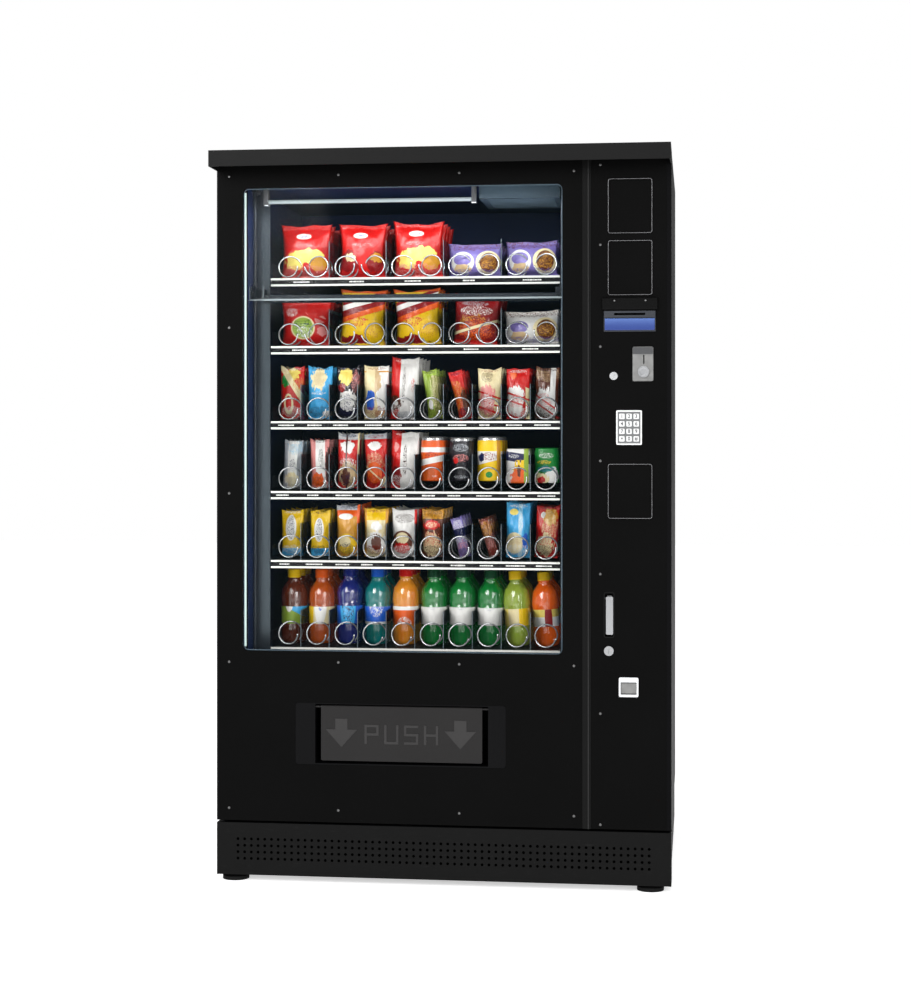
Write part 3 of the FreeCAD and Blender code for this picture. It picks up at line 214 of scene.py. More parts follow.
TRIM = finishes({
    "lip_white": ((222, 222, 216), 0.4, dict(scuff=0.1)),
    "strip_black": ((16, 16, 18), 0.3, dict(specular=0.2)),
    "mark_white": ((226, 226, 222), 0.5, dict(tint=0.3, patch=400)),
    "hood_black": ((6, 6, 6), 0.4, dict(specular=0.06)),
    "bezel_grey": ((38, 41, 47), 0.36, dict(specular=0.3, stretch=(0.05, 1, 1))),
    "bead_grey": ((22, 22, 22), 0.34, dict(specular=0.2)),
    "rim_highlight_grey": ((120, 120, 122), 0.3, dict(metal=0.5)),
    "band_grey": ((60, 61, 63), 0.4, dict(metal=0.3)),
    "seat_grey": ((92, 93, 94), 0.5, dict()),
    "raised_highlight_grey": ((40, 39, 39), 0.34, dict(specular=0.2)),
    "digit_ink": ((18, 18, 20), 0.5, dict()),
    "divider_edge_highlight": ((92, 104, 112), 0.3, dict(tint=0.2)),
    "filter_shade_black": ((9, 9, 9), 0.9, dict(specular=0.02, grain=300, bump=0.6)),
    "jamb_glow": ((176, 196, 190), 0.4, dict(glow=0.6, stretch=(1, 1, 0.1), patch=30)),
    "rim_glow": ((74, 92, 104), 0.4, dict(glow=0.25)),
    "lift_edge": ((140, 152, 156), 0.36, dict(scuff=0.2)),
    "coin_steel": ((114, 114, 113), 0.36, dict(metal=0.4, stretch=(0.05, 1, 1), tint=0.25, patch=60)),
})


def lit_lens():
    """The lit window under the note slot: blue, paler towards its upper edge."""
    paint = Paint("bill_lamp")
    split = paint.tree.nodes.new("ShaderNodeSeparateXYZ")
    paint.put(split.inputs[0], paint.place.outputs["Object"])
    rise = paint.math("DIVIDE", paint.math("SUBTRACT", split.outputs["Z"], 1.384), 0.026, clamp=True)
    rise = paint.math("POWER", rise, 2.0)
    shade = paint.mix(rise, linear(30, 50, 108), linear(72, 96, 150))
    shade = paint.mix(paint.math("MULTIPLY", paint.noise(90, 3.0), 0.3), shade, linear(30, 50, 110))
    paint.set(Base_Color=shade, Roughness=0.25, Emission_Color=shade, Emission_Strength=0.16)
    return paint.material


def glass(name, colour, opacity):
    """Clear sheet: the little that shows is its tint, its gloss and a faint unevenness of cleaning."""
    paint = Paint(name)
    smear = paint.noise(5, 5.0, (1, 1, 0.3))
    paint.set(Base_Color=linear(*colour), Roughness=paint.math("MULTIPLY_ADD", smear, 0.08, 0.01))
    paint.set(Alpha=paint.math("MULTIPLY_ADD", smear, opacity, opacity * 0.5), Specular_IOR_Level=0.4)
    return paint.material


FINISHES["glass"] = glass("window_clear", (40, 52, 54), 0.014)
DIVIDER = glass("divider_clear", (58, 68, 78), 0.16)


def printed(name, base, layers, foil=0.3, seals=True):
    """A printed wrapper: a base colour with bands, stripes, ovals, blobs and specks of others on it."""
    paint = Paint(name)
    across, up = paint.across()
    rough = paint.noise(9, 4.0, place="Generated")
    crumb = paint.noise(42, 5.0, place="Generated")
    sway = paint.math("SUBTRACT", rough, 0.5)
    shade = paint.mix(rough, tuple(part * 0.82 for part in named(base)[:3]) + (1.0,), named(base))
    for layer in layers:
        kind, numbers, colour = layer[0], layer[1], named(layer[2])
        if kind == "band":
            mask = paint.between(up, *numbers)
        elif kind == "stripe":
            mask = paint.between(across, *numbers)
        elif kind == "slant":
            low, high, slope = numbers
            mask = paint.between(paint.math("MULTIPLY_ADD", across, slope, up), low, high)
        else:
            middle, height, wide, high = numbers
            right = paint.math("DIVIDE", paint.math("SUBTRACT", across, middle), wide)
            above = paint.math("DIVIDE", paint.math("SUBTRACT", up, height), high)
            away = paint.math("ADD", paint.math("POWER", paint.math("ABSOLUTE", right), 2.0),
                              paint.math("POWER", paint.math("ABSOLUTE", above), 2.0))
            if kind in ("blob", "specks"):
                away = paint.math("MULTIPLY_ADD", sway, 2.6, away)
            mask = paint.math("MULTIPLY", paint.math("SUBTRACT", 1.0, away), 9.0, clamp=True)
        if kind in ("specks", "marks"):
            speck = paint.math("MULTIPLY", paint.math("SUBTRACT", crumb, 0.5), 14.0, clamp=True)
            mask = paint.math("MULTIPLY", mask, speck)
        shade = paint.mix(mask, shade, colour)
    crease = paint.noise(5, 6.0, (1.2, 1, 0.6), place="Generated")
    normal = paint.bump(crease, 0.35, 0.006)
    if seals:
        ridge = paint.math("SINE", paint.math("MULTIPLY", up, 700.0))
        edge = paint.math("SUBTRACT", 1.0, paint.between(up, 0.05, 0.93, 0.01))
        normal = paint.bump(paint.math("MULTIPLY", ridge, edge), 0.35, 0.0006, normal)
    paint.set(Base_Color=shade, Roughness=paint.math("MULTIPLY_ADD", rough, 0.2, foil - 0.1), Normal=normal)
    paint.set(Specular_IOR_Level=0.4, Coat_Weight=0.14, Coat_Roughness=0.2)
    return paint.material


def liquid(name, colour, deep):
    """A drink in a clear bottle: darker where it is deep, with a glossy skin, moulded ripples and a faint
    painted glow for light passing through it.
    """
    paint = Paint(name)
    drift = paint.noise(4, 3.0, (1, 1, 0.5), place="Generated")
    ripple = paint.noise(7, 2.0, (1, 1, 2.2), place="Generated")
    paint.set(Base_Color=paint.mix(drift, named(colour), named(deep)), Roughness=0.12)
    paint.set(Coat_Weight=1.0, Coat_Roughness=0.04, Specular_IOR_Level=0.6)
    # The faint emission is painted light: the drink is no lamp.
    paint.set(Normal=paint.bump(ripple, 0.5, 0.004), Emission_Color=named(colour), Emission_Strength=0.06)
    return paint.material


def placed(name, data, body, place=Matrix()):
    """Puts a mesh or curve into the scene at a place, as a piece that rides on a CAD body."""
    piece = bpy.data.objects.new(name, data)
    piece.matrix_world = place
    bpy.context.scene.collection.objects.link(piece)
    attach(piece, body)
    return piece


def shown(name, mesh, body, materials):
    """Places a mesh whose corners are already where they belong, with its materials."""
    for material in materials:
        mesh.materials.append(material)
    return placed(name, mesh, body)


def mesh_of(name, corners, faces, skins=None, smooth=True):
    mesh = bpy.data.meshes.new(name)
    mesh.from_pydata(corners, [], faces)
    if skins:
        mesh.polygons.foreach_set("material_index", skins)
    mesh.polygons.foreach_set("use_smooth", [smooth] * len(mesh.polygons))
    mesh.update()
    return mesh


def join_rings(faces, low, high, sides):
    """Adds the quads between two rings of corners, given the first corner of each."""
    for side in range(sides):
        after = (side + 1) % sides
        faces.append((low + side, low + after, high + after, high + side))


def repaint():
    """Gives each CAD node the finish of its slot."""
    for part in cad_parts.values():
        for holder in part.material_slots:
            slot_name = holder.material.name.split(".")[0]
            if slot_name in FINISHES:
                holder.material = FINISHES[slot_name]


def touch_up(node, material, test):
    """Another finish for the faces of a CAD node whose centre, in millimetres, passes the test."""
    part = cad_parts[node]
    part.data.materials.append(material)
    index = len(part.data.materials) - 1
    for face in part.data.polygons:
        x, y, z = (value / MM for value in face.center)
        if test(x, y, z):
            face.material_index = index


def wrapper_mesh(name, width, height, depth, ears=0.1, seed=0):
    """A filled pillow pack standing on its lower seal: two crowned sheets joined at the edges."""
    columns, rows = 22, 30
    corners, faces = [], []
    for side in (-1, 1):
        start = len(corners)
        for row in range(rows + 1):
            up = row / rows
            fill = math.sin(math.pi * min(max((up - 0.05) / 0.86, 0.0), 1.0) ** 0.86) ** 0.62
            half = width / 2 * (1 - ears * math.sin(math.pi * up) ** 0.7)
            for column in range(columns + 1):
                across = 2 * column / columns - 1
                crown = max(0.0, 1 - abs(across) ** 2.8) ** 0.75
                place = Vector((across * 2.2, up * 3.2, seed * 3.1 + side))
                crumple = noise.fractal(place * 1.7, 0.8, 2.0, 4) * crown
                lift = noise.noise(Vector((across * 1.6, seed, 4.0))) * 0.04 + 0.035 * abs(across) ** 3
                x = across * half * MM + crumple * 0.0012
                y = side * (depth / 2 * crown * fill + crumple * (1.6 + 2.2 * (1 - fill))) * MM
                z = up * height * (1 + lift * up ** 3) * MM
                corners.append((x, y if crown else 0.0, z))
        for row in range(rows):
            for column in range(columns):
                first = start + row * (columns + 1) + column
                ring = (first, first + 1, first + columns + 2, first + columns + 1)
                faces.append(ring if side < 0 else ring[::-1])
    mesh = mesh_of(name, corners, faces)
    work = bmesh.new()
    work.from_mesh(mesh)
    bmesh.ops.remove_doubles(work, verts=work.verts, dist=0.00005)
    work.to_mesh(mesh)
    work.free()
    return mesh


def lofted_mesh(name, profile, square=2.0, sides=40, knurl=()):
    """Rings of a rounded square from the bottom up, each as (height, half width, half depth, skin)."""
    corners, faces, skins = [], [], []
    for level, (height, wide, deep, skin) in enumerate(profile):
        for side in range(sides):
            angle = 2 * math.pi * side / sides
            ridge = 1 + (0.02 * (-1) ** side if level in knurl else 0)
            along, out = math.cos(angle), math.sin(angle)
            x = math.copysign(abs(along) ** (2 / square), along) * wide * ridge
            y = math.copysign(abs(out) ** (2 / square), out) * deep * ridge
            corners.append((x * MM, y * MM, height * MM))
        if level:
            join_rings(faces, (level - 1) * sides, level * sides, sides)
            skins += [skin] * sides
    faces.append(tuple(reversed(range(sides))))
    skins.append(profile[0][3])
    faces.append(tuple(range((len(profile) - 1) * sides, len(profile) * sides)))
    skins.append(profile[-1][3])
    return mesh_of(name, corners, faces, skins)


def spiral_mesh(name, hand):
    """A coil of round wire with its hub disc at the rear; hand is 1 for the driven spirals' turn, else -1."""
    steps, sides = SPIRAL_TURNS * 36, 8
    corners, faces = [], []
    slope = SPIRAL_LENGTH / (2 * math.pi * SPIRAL_TURNS)
    for step in range(steps + 1):
        turn = 2 * math.pi * SPIRAL_TURNS * step / steps
        out = Vector((hand * math.cos(turn), 0, -math.sin(turn)))
        ahead = Vector((-hand * math.sin(turn) * SPIRAL_RADIUS, slope,
                        -math.cos(turn) * SPIRAL_RADIUS)).normalized()
        across = out.cross(ahead)
        middle = out * SPIRAL_RADIUS + Vector((0, SPIRAL_LENGTH * step / steps, 0))
        for side in range(sides):
            angle = 2 * math.pi * side / sides
            point = middle + (out * math.cos(angle) + across * math.sin(angle)) * SPIRAL_WIRE
            corners.append(point * MM)
        if step:
            join_rings(faces, (step - 1) * sides, step * sides, sides)
    faces.append(tuple(reversed(range(sides))))
    faces.append(tuple(range(steps * sides, (steps + 1) * sides)))
    for radius, start, thick in ((SPIRAL_RADIUS + SPIRAL_WIRE, 2.05, 3), (4, 5.05, 4)):
        first = len(corners)
        for depth in (0, thick):
            for side in range(HUB_SIDES):
                angle = 2 * math.pi * side / HUB_SIDES
                y = SPIRAL_LENGTH + start + depth
                corners.append(Vector((radius * math.cos(angle), y, radius * math.sin(angle))) * MM)
        join_rings(faces, first, first + HUB_SIDES, HUB_SIDES)
        faces.append(tuple(range(first, first + HUB_SIDES)))
        faces.append(tuple(reversed(range(first + HUB_SIDES, first + 2 * HUB_SIDES))))
    mesh = mesh_of(name, corners, faces)
    mesh.materials.append(FINISHES["coil_steel"])
    return mesh


def spirals():
    """Every lane's spiral. The left lane's is the driven one and stands for its CAD node."""
    meshes = {1: spiral_mesh("spiral_right", 1), -1: spiral_mesh("spiral_left", -1)}
    for tray, level in enumerate(TRAY_LEVELS, start=1):
        for lane in range(LANES):
            driven = lane == 0
            hand = -1 if tray <= WIDE_TRAYS and lane % 2 else 1
            body = f"coil_{tray}" if driven else f"tray_{tray}"
            place = Matrix.Translation(Vector((FIRST_LANE + LANE * lane, SPIRAL_FRONT,
                                               level + SPIRAL_LIFT)) * MM)
            if not driven:
                place = place @ Matrix.Rotation(math.radians(rng.uniform(-14, 14)), 4, "Y")
            spiral = placed(f"spiral_{tray}_{lane + 1}", meshes[hand], body, place)
            if driven:
                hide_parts(body)


def box_faces(corners, faces, low, high, bevel=0.25):
    """Adds a small plate with a bevelled front to the lists, from its low and high corners in millimetres."""
    first = len(corners)
    for y, inset in ((high[1], 0), (low[1] + bevel, 0), (low[1], bevel)):
        for x, z in ((low[0] + inset, low[2] + inset), (high[0] - inset, low[2] + inset),
                     (high[0] - inset, high[2] - inset), (low[0] + inset, high[2] - inset)):
            corners.append(Vector((x, y, z)) * MM)
    for ring in (0, 4):
        for side in range(4):
            after = (side + 1) % 4
            faces.append((first + ring + side, first + ring + 4 + side, first + ring + 4 + after,
                          first + ring + after))
    faces.append((first, first + 1, first + 2, first + 3))
    faces.append((first + 11, first + 10, first + 9, first + 8))


def label_strips():
    """The clip-in price strips of the trays, with short printed marks in place of prices."""
    for tray, level in enumerate(TRAY_LEVELS, start=1):
        step = 2 if tray <= WIDE_TRAYS else 1
        corners, faces = [], []
        for lane in range(0, LANES, step):
            left = FIRST_LANE - LANE / 2 + LANE * lane
            box_faces(corners, faces, (left + 0.8, STRIP_FRONT, level - RAIL_HEIGHT + RAIL_LIP),
                      (left + LANE * step - 0.8, STRIP_BACK, level - RAIL_LIP))
        plates = len(faces)
        for lane in range(0, LANES, step):
            middle = FIRST_LANE + LANE * (lane + (step - 1) / 2)
            x = middle - rng.uniform(16, 26)
            for _ in range(rng.randint(7, 10)):
                wide = rng.uniform(1.6, 5.4)
                high = rng.uniform(1.3, 1.9)
                half_way = level - RAIL_HEIGHT / 2
                box_faces(corners, faces, (x, STRIP_FRONT - 0.25, half_way - high),
                          (x + wide, STRIP_FRONT + 0.1, half_way + high), 0.1)
                x += wide + rng.uniform(0.5, 1.2)
        skins = [0] * plates + [1] * (len(faces) - plates)
        mesh = mesh_of(f"label_strip_{tray}", corners, faces, skins, smooth=False)
        shown(f"label_strip_{tray}", mesh, f"tray_{tray}",
              (TRIM["strip_black"], TRIM["mark_white"]))


# The stock. Each pack is (width, height, depth, lean in degrees, ears, base colour, printed layers).
RED_CHIPS = (
    ("blob", (0.30, 0.30, 0.20, 0.16), "pale yellow"), ("blob", (0.55, 0.40, 0.30, 0.14), "pale yellow"),
    ("blob", (0.75, 0.26, 0.16, 0.14), "gold"), ("specks", (0.5, 0.12, 0.5, 0.12), "pink"),
    ("oval", (0.46, 0.77, 0.15, 0.055), "white"), ("marks", (0.46, 0.77, 0.11, 0.03), "lilac"),
    ("marks", (0.46, 0.60, 0.22, 0.035), "pink"), ("band", (0.925, 0.935), "dark red"),
)
RED_MEAT = (
    ("blob", (0.25, 0.28, 0.2, 0.2), "dark red"), ("blob", (0.27, 0.36, 0.11, 0.08), "cream"),
    ("blob", (0.78, 0.28, 0.18, 0.2), "dark red"), ("blob", (0.78, 0.36, 0.13, 0.09), "gold"),
    ("oval", (0.46, 0.77, 0.15, 0.055), "white"), ("marks", (0.46, 0.77, 0.11, 0.03), "lilac"),
    ("marks", (0.5, 0.6, 0.22, 0.035), "pink"), ("band", (0.925, 0.935), "dark red"),
)
PASTRY = (
    ("oval", (0.27, 0.42, 0.22, 0.34), "white"), ("oval", (0.27, 0.50, 0.17, 0.18), "lilac"),
    ("blob", (0.28, 0.24, 0.17, 0.13), "beige"), ("oval", (0.74, 0.42, 0.23, 0.36), "cream"),
    ("oval", (0.75, 0.42, 0.17, 0.30), "brown"), ("specks", (0.75, 0.42, 0.15, 0.26), "gold"),
    ("specks", (0.5, 0.9, 0.6, 0.12), "brown"), ("specks", (0.5, 0.12, 0.6, 0.1), "lilac"),
)
YELLOW_CHIPS = (
    ("oval", (0.60, 0.72, 0.24, 0.16), "dark red"), ("slant", (0.46, 0.74, -0.26), "dark red"),
    ("slant", (0.58, 0.68, -0.26), "white"), ("marks", (0.54, 0.62, 0.34, 0.07), "dark red"),
    ("slant", (0.36, 0.46, -0.3), "orange"), ("specks", (0.4, 0.40, 0.3, 0.08), "red"),
    ("blob", (0.3, 0.10, 0.32, 0.09), "dark red"), ("blob", (0.2, 0.25, 0.14, 0.12), "yellow"),
    ("oval", (0.72, 0.25, 0.24, 0.20), "yellow"), ("specks", (0.72, 0.25, 0.2, 0.16), "gold"),
    ("stripe", (0.0, 0.06), "gold"), ("stripe", (0.94, 1.01), "gold"), ("band", (0.93, 1.01), "orange"),
)
WIDE_STOCK = (
    ((128, 138, 44, 0, 0.10, "red", RED_CHIPS), (122, 138, 44, 1, 0.14, "red", RED_MEAT),
     (126, 140, 44, 0, 0.10, "red", RED_CHIPS), (132, 84, 42, 0, 0.05, "lilac", PASTRY),
     (126, 88, 42, -1, 0.04, "lilac", PASTRY)),
    ((128, 116, 42, 0, 0.09, "red", (
        ("oval", (0.45, 0.38, 0.24, 0.26), "cream"), ("oval", (0.45, 0.38, 0.21, 0.23), "lime"),
        ("specks", (0.45, 0.38, 0.19, 0.2), "dark green"), ("specks", (0.47, 0.30, 0.15, 0.12), "white"),
        ("blob", (0.78, 0.55, 0.10, 0.08), "pink"), ("blob", (0.80, 0.30, 0.10, 0.1), "pink"),
        ("slant", (0.93, 1.0, 0.5), "red"), ("marks", (0.22, 0.72, 0.12, 0.1), "white"))),
     (118, 142, 44, 2, 0.12, "yellow", YELLOW_CHIPS), (118, 142, 44, -2, 0.12, "yellow", YELLOW_CHIPS),
     (112, 126, 42, 3, 0.06, "dark red", (
         ("slant", (0.5, 0.86, 0.0), "dark red"), ("marks", (0.45, 0.80, 0.3, 0.05), "silver"),
         ("marks", (0.5, 0.66, 0.36, 0.1), "white"), ("specks", (0.45, 0.36, 0.34, 0.22), "gold"),
         ("specks", (0.5, 0.26, 0.36, 0.22), "orange"), ("slant", (0.16, 0.22, -0.3), "cream"),
         ("band", (0.0, 0.08), "red"))),
     (134, 84, 42, -1, 0.04, "white", PASTRY)),
)
NARROW_STOCK = (
    ((62, 136, 28, 0, 0.04, "red", (
        ("blob", (0.25, 0.72, 0.18, 0.12), "green"), ("blob", (0.5, 0.84, 0.28, 0.12), "pale yellow"),
        ("slant", (0.92, 1.12, 0.7), "cream"), ("specks", (0.75, 0.66, 0.2, 0.16), "gold"),
        ("oval", (0.36, 0.28, 0.2, 0.2), "cream"), ("oval", (0.36, 0.30, 0.12, 0.14), "red"))),
     (64, 136, 28, 0, 0.06, "sky", (
         ("band", (0.0, 1.01), "sky"), ("blob", (0.45, 0.74, 0.32, 0.2), "cream"),
         ("specks", (0.45, 0.74, 0.22, 0.13), "beige"), ("oval", (0.45, 0.26, 0.36, 0.2), "sky"),
         ("blob", (0.8, 0.10, 0.2, 0.06), "white"), ("marks", (0.45, 0.48, 0.3, 0.03), "white"))),
     (60, 136, 28, 0, 0.05, "ink", (
         ("blob", (0.4, 0.78, 0.3, 0.16), "pale yellow"), ("blob", (0.5, 0.34, 0.34, 0.2), "white"),
         ("marks", (0.48, 0.34, 0.16, 0.14), "navy"), ("specks", (0.8, 0.7, 0.18, 0.2), "pink"),
         ("blob", (0.25, 0.58, 0.16, 0.08), "dark red"))),
     (64, 138, 28, 0, 0.04, "cream", (
         ("stripe", (0.56, 1.01), "white"), ("band", (0.86, 0.89), "gold"),
         ("oval", (0.22, 0.66, 0.13, 0.065), "teal"),
         ("blob", (0.5, 0.68, 0.2, 0.2), "beige"), ("band", (0.05, 0.16), "beige"),
         ("stripe", (0.1, 0.45), "cream"),
         ("blob", (0.28, 0.34, 0.2, 0.18), "blue"), ("blob", (0.72, 0.36, 0.24, 0.18), "white"))),
     (70, 158, 30, 2, 0.02, "white", (
         ("stripe", (0.0, 0.34), "red"), ("blob", (0.2, 0.26, 0.22, 0.12), "brown"),
         ("oval", (0.22, 0.25, 0.08, 0.04), "white"), ("marks", (0.48, 0.55, 0.06, 0.3), "cocoa"),
         ("blob", (0.55, 0.07, 0.3, 0.06), "silver"), ("marks", (0.8, 0.55, 0.06, 0.12), "red"))),
     (38, 128, 22, -8, 0.1, "lime", (
         ("stripe", (0.55, 1.01), "olive"), ("blob", (0.35, 0.30, 0.16, 0.1), "white"),
         ("specks", (0.7, 0.5, 0.3, 0.4), "cream"), ("band", (0.86, 1.01), "lime"))),
     (36, 128, 22, -14, 0.1, "red", (
         ("specks", (0.4, 0.4, 0.5, 0.4), "gold"), ("blob", (0.75, 0.3, 0.24, 0.3), "brown"),
         ("band", (0.86, 1.01), "red"))),
     (60, 130, 26, 0, 0.04, "cream", (
         ("marks", (0.4, 0.82, 0.25, 0.12), "cocoa"), ("blob", (0.42, 0.36, 0.34, 0.3), "pink"),
         ("slant", (0.36, 0.40, 0.16), "red"), ("slant", (0.52, 0.56, 0.16), "red"),
         ("slant", (0.22, 0.27, 0.16), "red"), ("marks", (0.42, 0.3, 0.28, 0.2), "white"))),
     (60, 130, 26, 0, 0.04, "red", (
         ("stripe", (0.8, 1.01), "cream"), ("slant", (0.78, 1.2, 0.2), "red"),
         ("blob", (0.4, 0.36, 0.38, 0.3), "white"),
         ("slant", (0.36, 0.40, 0.16), "red"), ("slant", (0.50, 0.54, 0.16), "red"),
         ("marks", (0.42, 0.3, 0.28, 0.2), "pink"), ("blob", (0.3, 0.85, 0.14, 0.07), "orange"))),
     (60, 132, 26, 2, 0.04, "brown", (
         ("specks", (0.5, 0.85, 0.5, 0.14), "beige"), ("stripe", (0.62, 0.84), "white"),
         ("blob", (0.4, 0.32, 0.36, 0.28), "white"), ("slant", (0.30, 0.34, 0.3), "red"),
         ("slant", (0.44, 0.48, 0.3), "red"), ("marks", (0.38, 0.3, 0.3, 0.2), "pink")))),
    ((48, 124, 24, 3, 0.04, "silver", (
        ("stripe", (0.25, 0.75), "white"), ("blob", (0.5, 0.18, 0.34, 0.16), "cream"),
        ("marks", (0.5, 0.5, 0.16, 0.1), "navy"), ("specks", (0.6, 0.85, 0.4, 0.16), "pale blue"))),
     (50, 126, 24, -2, 0.05, "pink", (
         ("stripe", (0.28, 0.76), "white"), ("blob", (0.35, 0.16, 0.3, 0.16), "orange"),
         ("marks", (0.55, 0.6, 0.12, 0.2), "ink"), ("blob", (0.9, 0.4, 0.14, 0.4), "cocoa"))),
     (56, 142, 28, 1, 0.06, "red", (
         ("band", (0.86, 1.01), "silver"), ("specks", (0.5, 0.93, 0.6, 0.08), "white"),
         ("blob", (0.45, 0.73, 0.32, 0.11), "white"), ("stripe", (0.9, 1.01), "cream"),
         ("blob", (0.5, 0.24, 0.42, 0.24), "beige"), ("stripe", (0.38, 0.46), "cocoa"),
         ("specks", (0.5, 0.46, 0.4, 0.08), "white"), ("blob", (0.4, 0.2, 0.2, 0.16), "brown"))),
     (58, 142, 28, -2, 0.06, "red", (
         ("band", (0.88, 1.01), "silver"), ("blob", (0.45, 0.76, 0.28, 0.08), "white"),
         ("specks", (0.45, 0.45, 0.4, 0.2), "beige"), ("oval", (0.42, 0.28, 0.34, 0.2), "orange"),
         ("slant", (0.40, 0.44, 0.4), "cream"), ("blob", (0.85, 0.1, 0.2, 0.1), "cream"))),
     (70, 146, 30, 2, 0.02, "white", (
         ("stripe", (0.0, 0.36), "red"), ("blob", (0.22, 0.24, 0.2, 0.14), "dark red"),
         ("marks", (0.52, 0.45, 0.07, 0.32), "cocoa"), ("blob", (0.2, 0.7, 0.1, 0.08), "pink")))),
    ((58, 118, 26, 0, 0.06, "yellow", (
        ("band", (0.0, 0.17), "sky"), ("oval", (0.45, 0.6, 0.24, 0.28), "white"),
        ("marks", (0.45, 0.6, 0.16, 0.25), "navy"))),
     (52, 118, 26, 0, 0.05, "yellow", (
         ("band", (0.0, 0.17), "sky"), ("oval", (0.45, 0.56, 0.24, 0.26), "white"),
         ("marks", (0.45, 0.56, 0.16, 0.24), "navy"))),
     (62, 132, 28, 0, 0.08, "gold", (
         ("band", (0.88, 1.01), "silver"), ("band", (0.76, 0.88), "orange"),
         ("oval", (0.4, 0.76, 0.3, 0.06), "white"),
         ("oval", (0.45, 0.24, 0.4, 0.2), "yellow"), ("oval", (0.38, 0.28, 0.24, 0.11), "cream"),
         ("marks", (0.4, 0.22, 0.14, 0.05), "ink"), ("stripe", (0.85, 1.01), "orange"))),
     (64, 124, 28, 0, 0.08, "cream", (
         ("band", (0.74, 1.01), "yellow"), ("stripe", (0.0, 0.12), "gold"), ("stripe", (0.85, 1.01), "gold"),
         ("blob", (0.5, 0.3, 0.4, 0.2), "white"), ("blob", (0.52, 0.28, 0.22, 0.17), "brown"),
         ("blob", (0.5, 0.62, 0.24, 0.1), "white"))),
     (64, 122, 28, 0, 0.05, "white", (
         ("marks", (0.5, 0.78, 0.4, 0.1), "cocoa"), ("oval", (0.42, 0.3, 0.42, 0.24), "brown"),
         ("oval", (0.42, 0.38, 0.26, 0.12), "cream"), ("blob", (0.4, 0.18, 0.3, 0.12), "red"),
         ("stripe", (0.88, 1.01), "red"))),
     (56, 122, 28, 0, 0.07, "brown", (
         ("band", (0.78, 1.01), "gold"), ("specks", (0.5, 0.86, 0.5, 0.12), "cocoa"),
         ("blob", (0.45, 0.66, 0.36, 0.1), "red"), ("blob", (0.45, 0.26, 0.4, 0.26), "cream"),
         ("specks", (0.45, 0.28, 0.4, 0.26), "red"), ("marks", (0.45, 0.66, 0.26, 0.06), "cream"))),
     (30, 104, 20, -14, 0.03, "lilac", (
         ("marks", (0.5, 0.5, 0.5, 0.5), "white"), ("specks", (0.5, 0.2, 0.5, 0.2), "pink"),
         ("band", (0.5, 0.7), "navy"))),
     (28, 104, 20, -16, 0.03, "brown", (
         ("marks", (0.5, 0.5, 0.5, 0.5), "pink"), ("specks", (0.5, 0.7, 0.5, 0.2), "gold"))),
     (62, 140, 28, 1, 0.04, "sky", (
         ("stripe", (0.5, 0.66), "pale blue"), ("oval", (0.32, 0.82, 0.18, 0.06), "pale yellow"),
         ("marks", (0.6, 0.62, 0.1, 0.2), "white"), ("oval", (0.36, 0.26, 0.36, 0.2), "cream"),
         ("specks", (0.36, 0.24, 0.24, 0.13), "beige"), ("blob", (0.78, 0.3, 0.12, 0.14), "blue"))),
     (58, 132, 28, 3, 0.04, "red", (
         ("blob", (0.62, 0.78, 0.3, 0.16), "gold"), ("specks", (0.6, 0.6, 0.34, 0.3), "cream"),
         ("blob", (0.45, 0.24, 0.36, 0.22), "cream"), ("specks", (0.45, 0.22, 0.3, 0.18), "red"),
         ("blob", (0.3, 0.8, 0.1, 0.06), "white")))),
)


def stand(piece_name, mesh, tray, middle, depth, lean=0.0, turn=0.0, lift=6.0):
    """Sets a product on a tray, leaning sideways by some degrees about its foot."""
    foot = Matrix.Translation(Vector((middle, depth, TRAY_LEVELS[tray - 1] + lift)) * MM)
    tilt = Matrix.Rotation(math.radians(turn), 4, "Z") @ Matrix.Rotation(math.radians(lean), 4, "Y")
    return placed(piece_name, mesh, f"tray_{tray}", foot @ tilt)


def stack(key, mesh, tray, middle, lean=0.0, first=-117, pitch=60, count=4, lift=6.0, shift=0.0):
    """The queue of one product down its lane, each a little differently turned."""
    for place in range(count):
        wobble = rng.uniform(-3, 3) if place else 0.0
        stand(f"{key}_{place + 1}", mesh, tray, middle + shift, first + pitch * place, lean=lean + wobble / 3,
              turn=wobble, lift=lift)


def small_print(lane):
    """The fine print that every narrow pack carries: a meaningless row of marks and a speckled foot."""
    ink = ("white", "cocoa", "navy", "dark red")[lane % 4]
    return (("specks", (0.5, 0.14, 0.44, 0.10), ink), ("marks", (0.5, 0.93, 0.36, 0.03), ink))


def packs():
    """The bags and bars of trays 1 to 5."""
    for tray, stock in enumerate(WIDE_STOCK, start=1):
        for lane, (width, height, depth, lean, ears, base, layers) in enumerate(stock):
            key = f"bag_{tray}_{lane + 1}"
            mesh = wrapper_mesh(key, width * 1.08, height, depth, ears, seed=tray * 5 + lane)
            mesh.materials.append(printed(key, base, layers))
            stack(key, mesh, tray, FIRST_LANE + LANE * (0.5 + 2 * lane), lean)
    for row, stock in enumerate(NARROW_STOCK):
        tray = row + 3
        for lane, (width, height, depth, lean, ears, base, layers) in enumerate(stock):
            key = f"pack_{tray}_{lane + 1}"
            mesh = wrapper_mesh(key, width * 1.06, height, depth, ears, seed=tray * 11 + lane)
            mesh.materials.append(printed(key, base, layers + small_print(lane)))
            shift = -math.sin(math.radians(lean)) * height * 0.45
            stack(key, mesh, tray, FIRST_LANE + LANE * lane, lean, shift=shift)


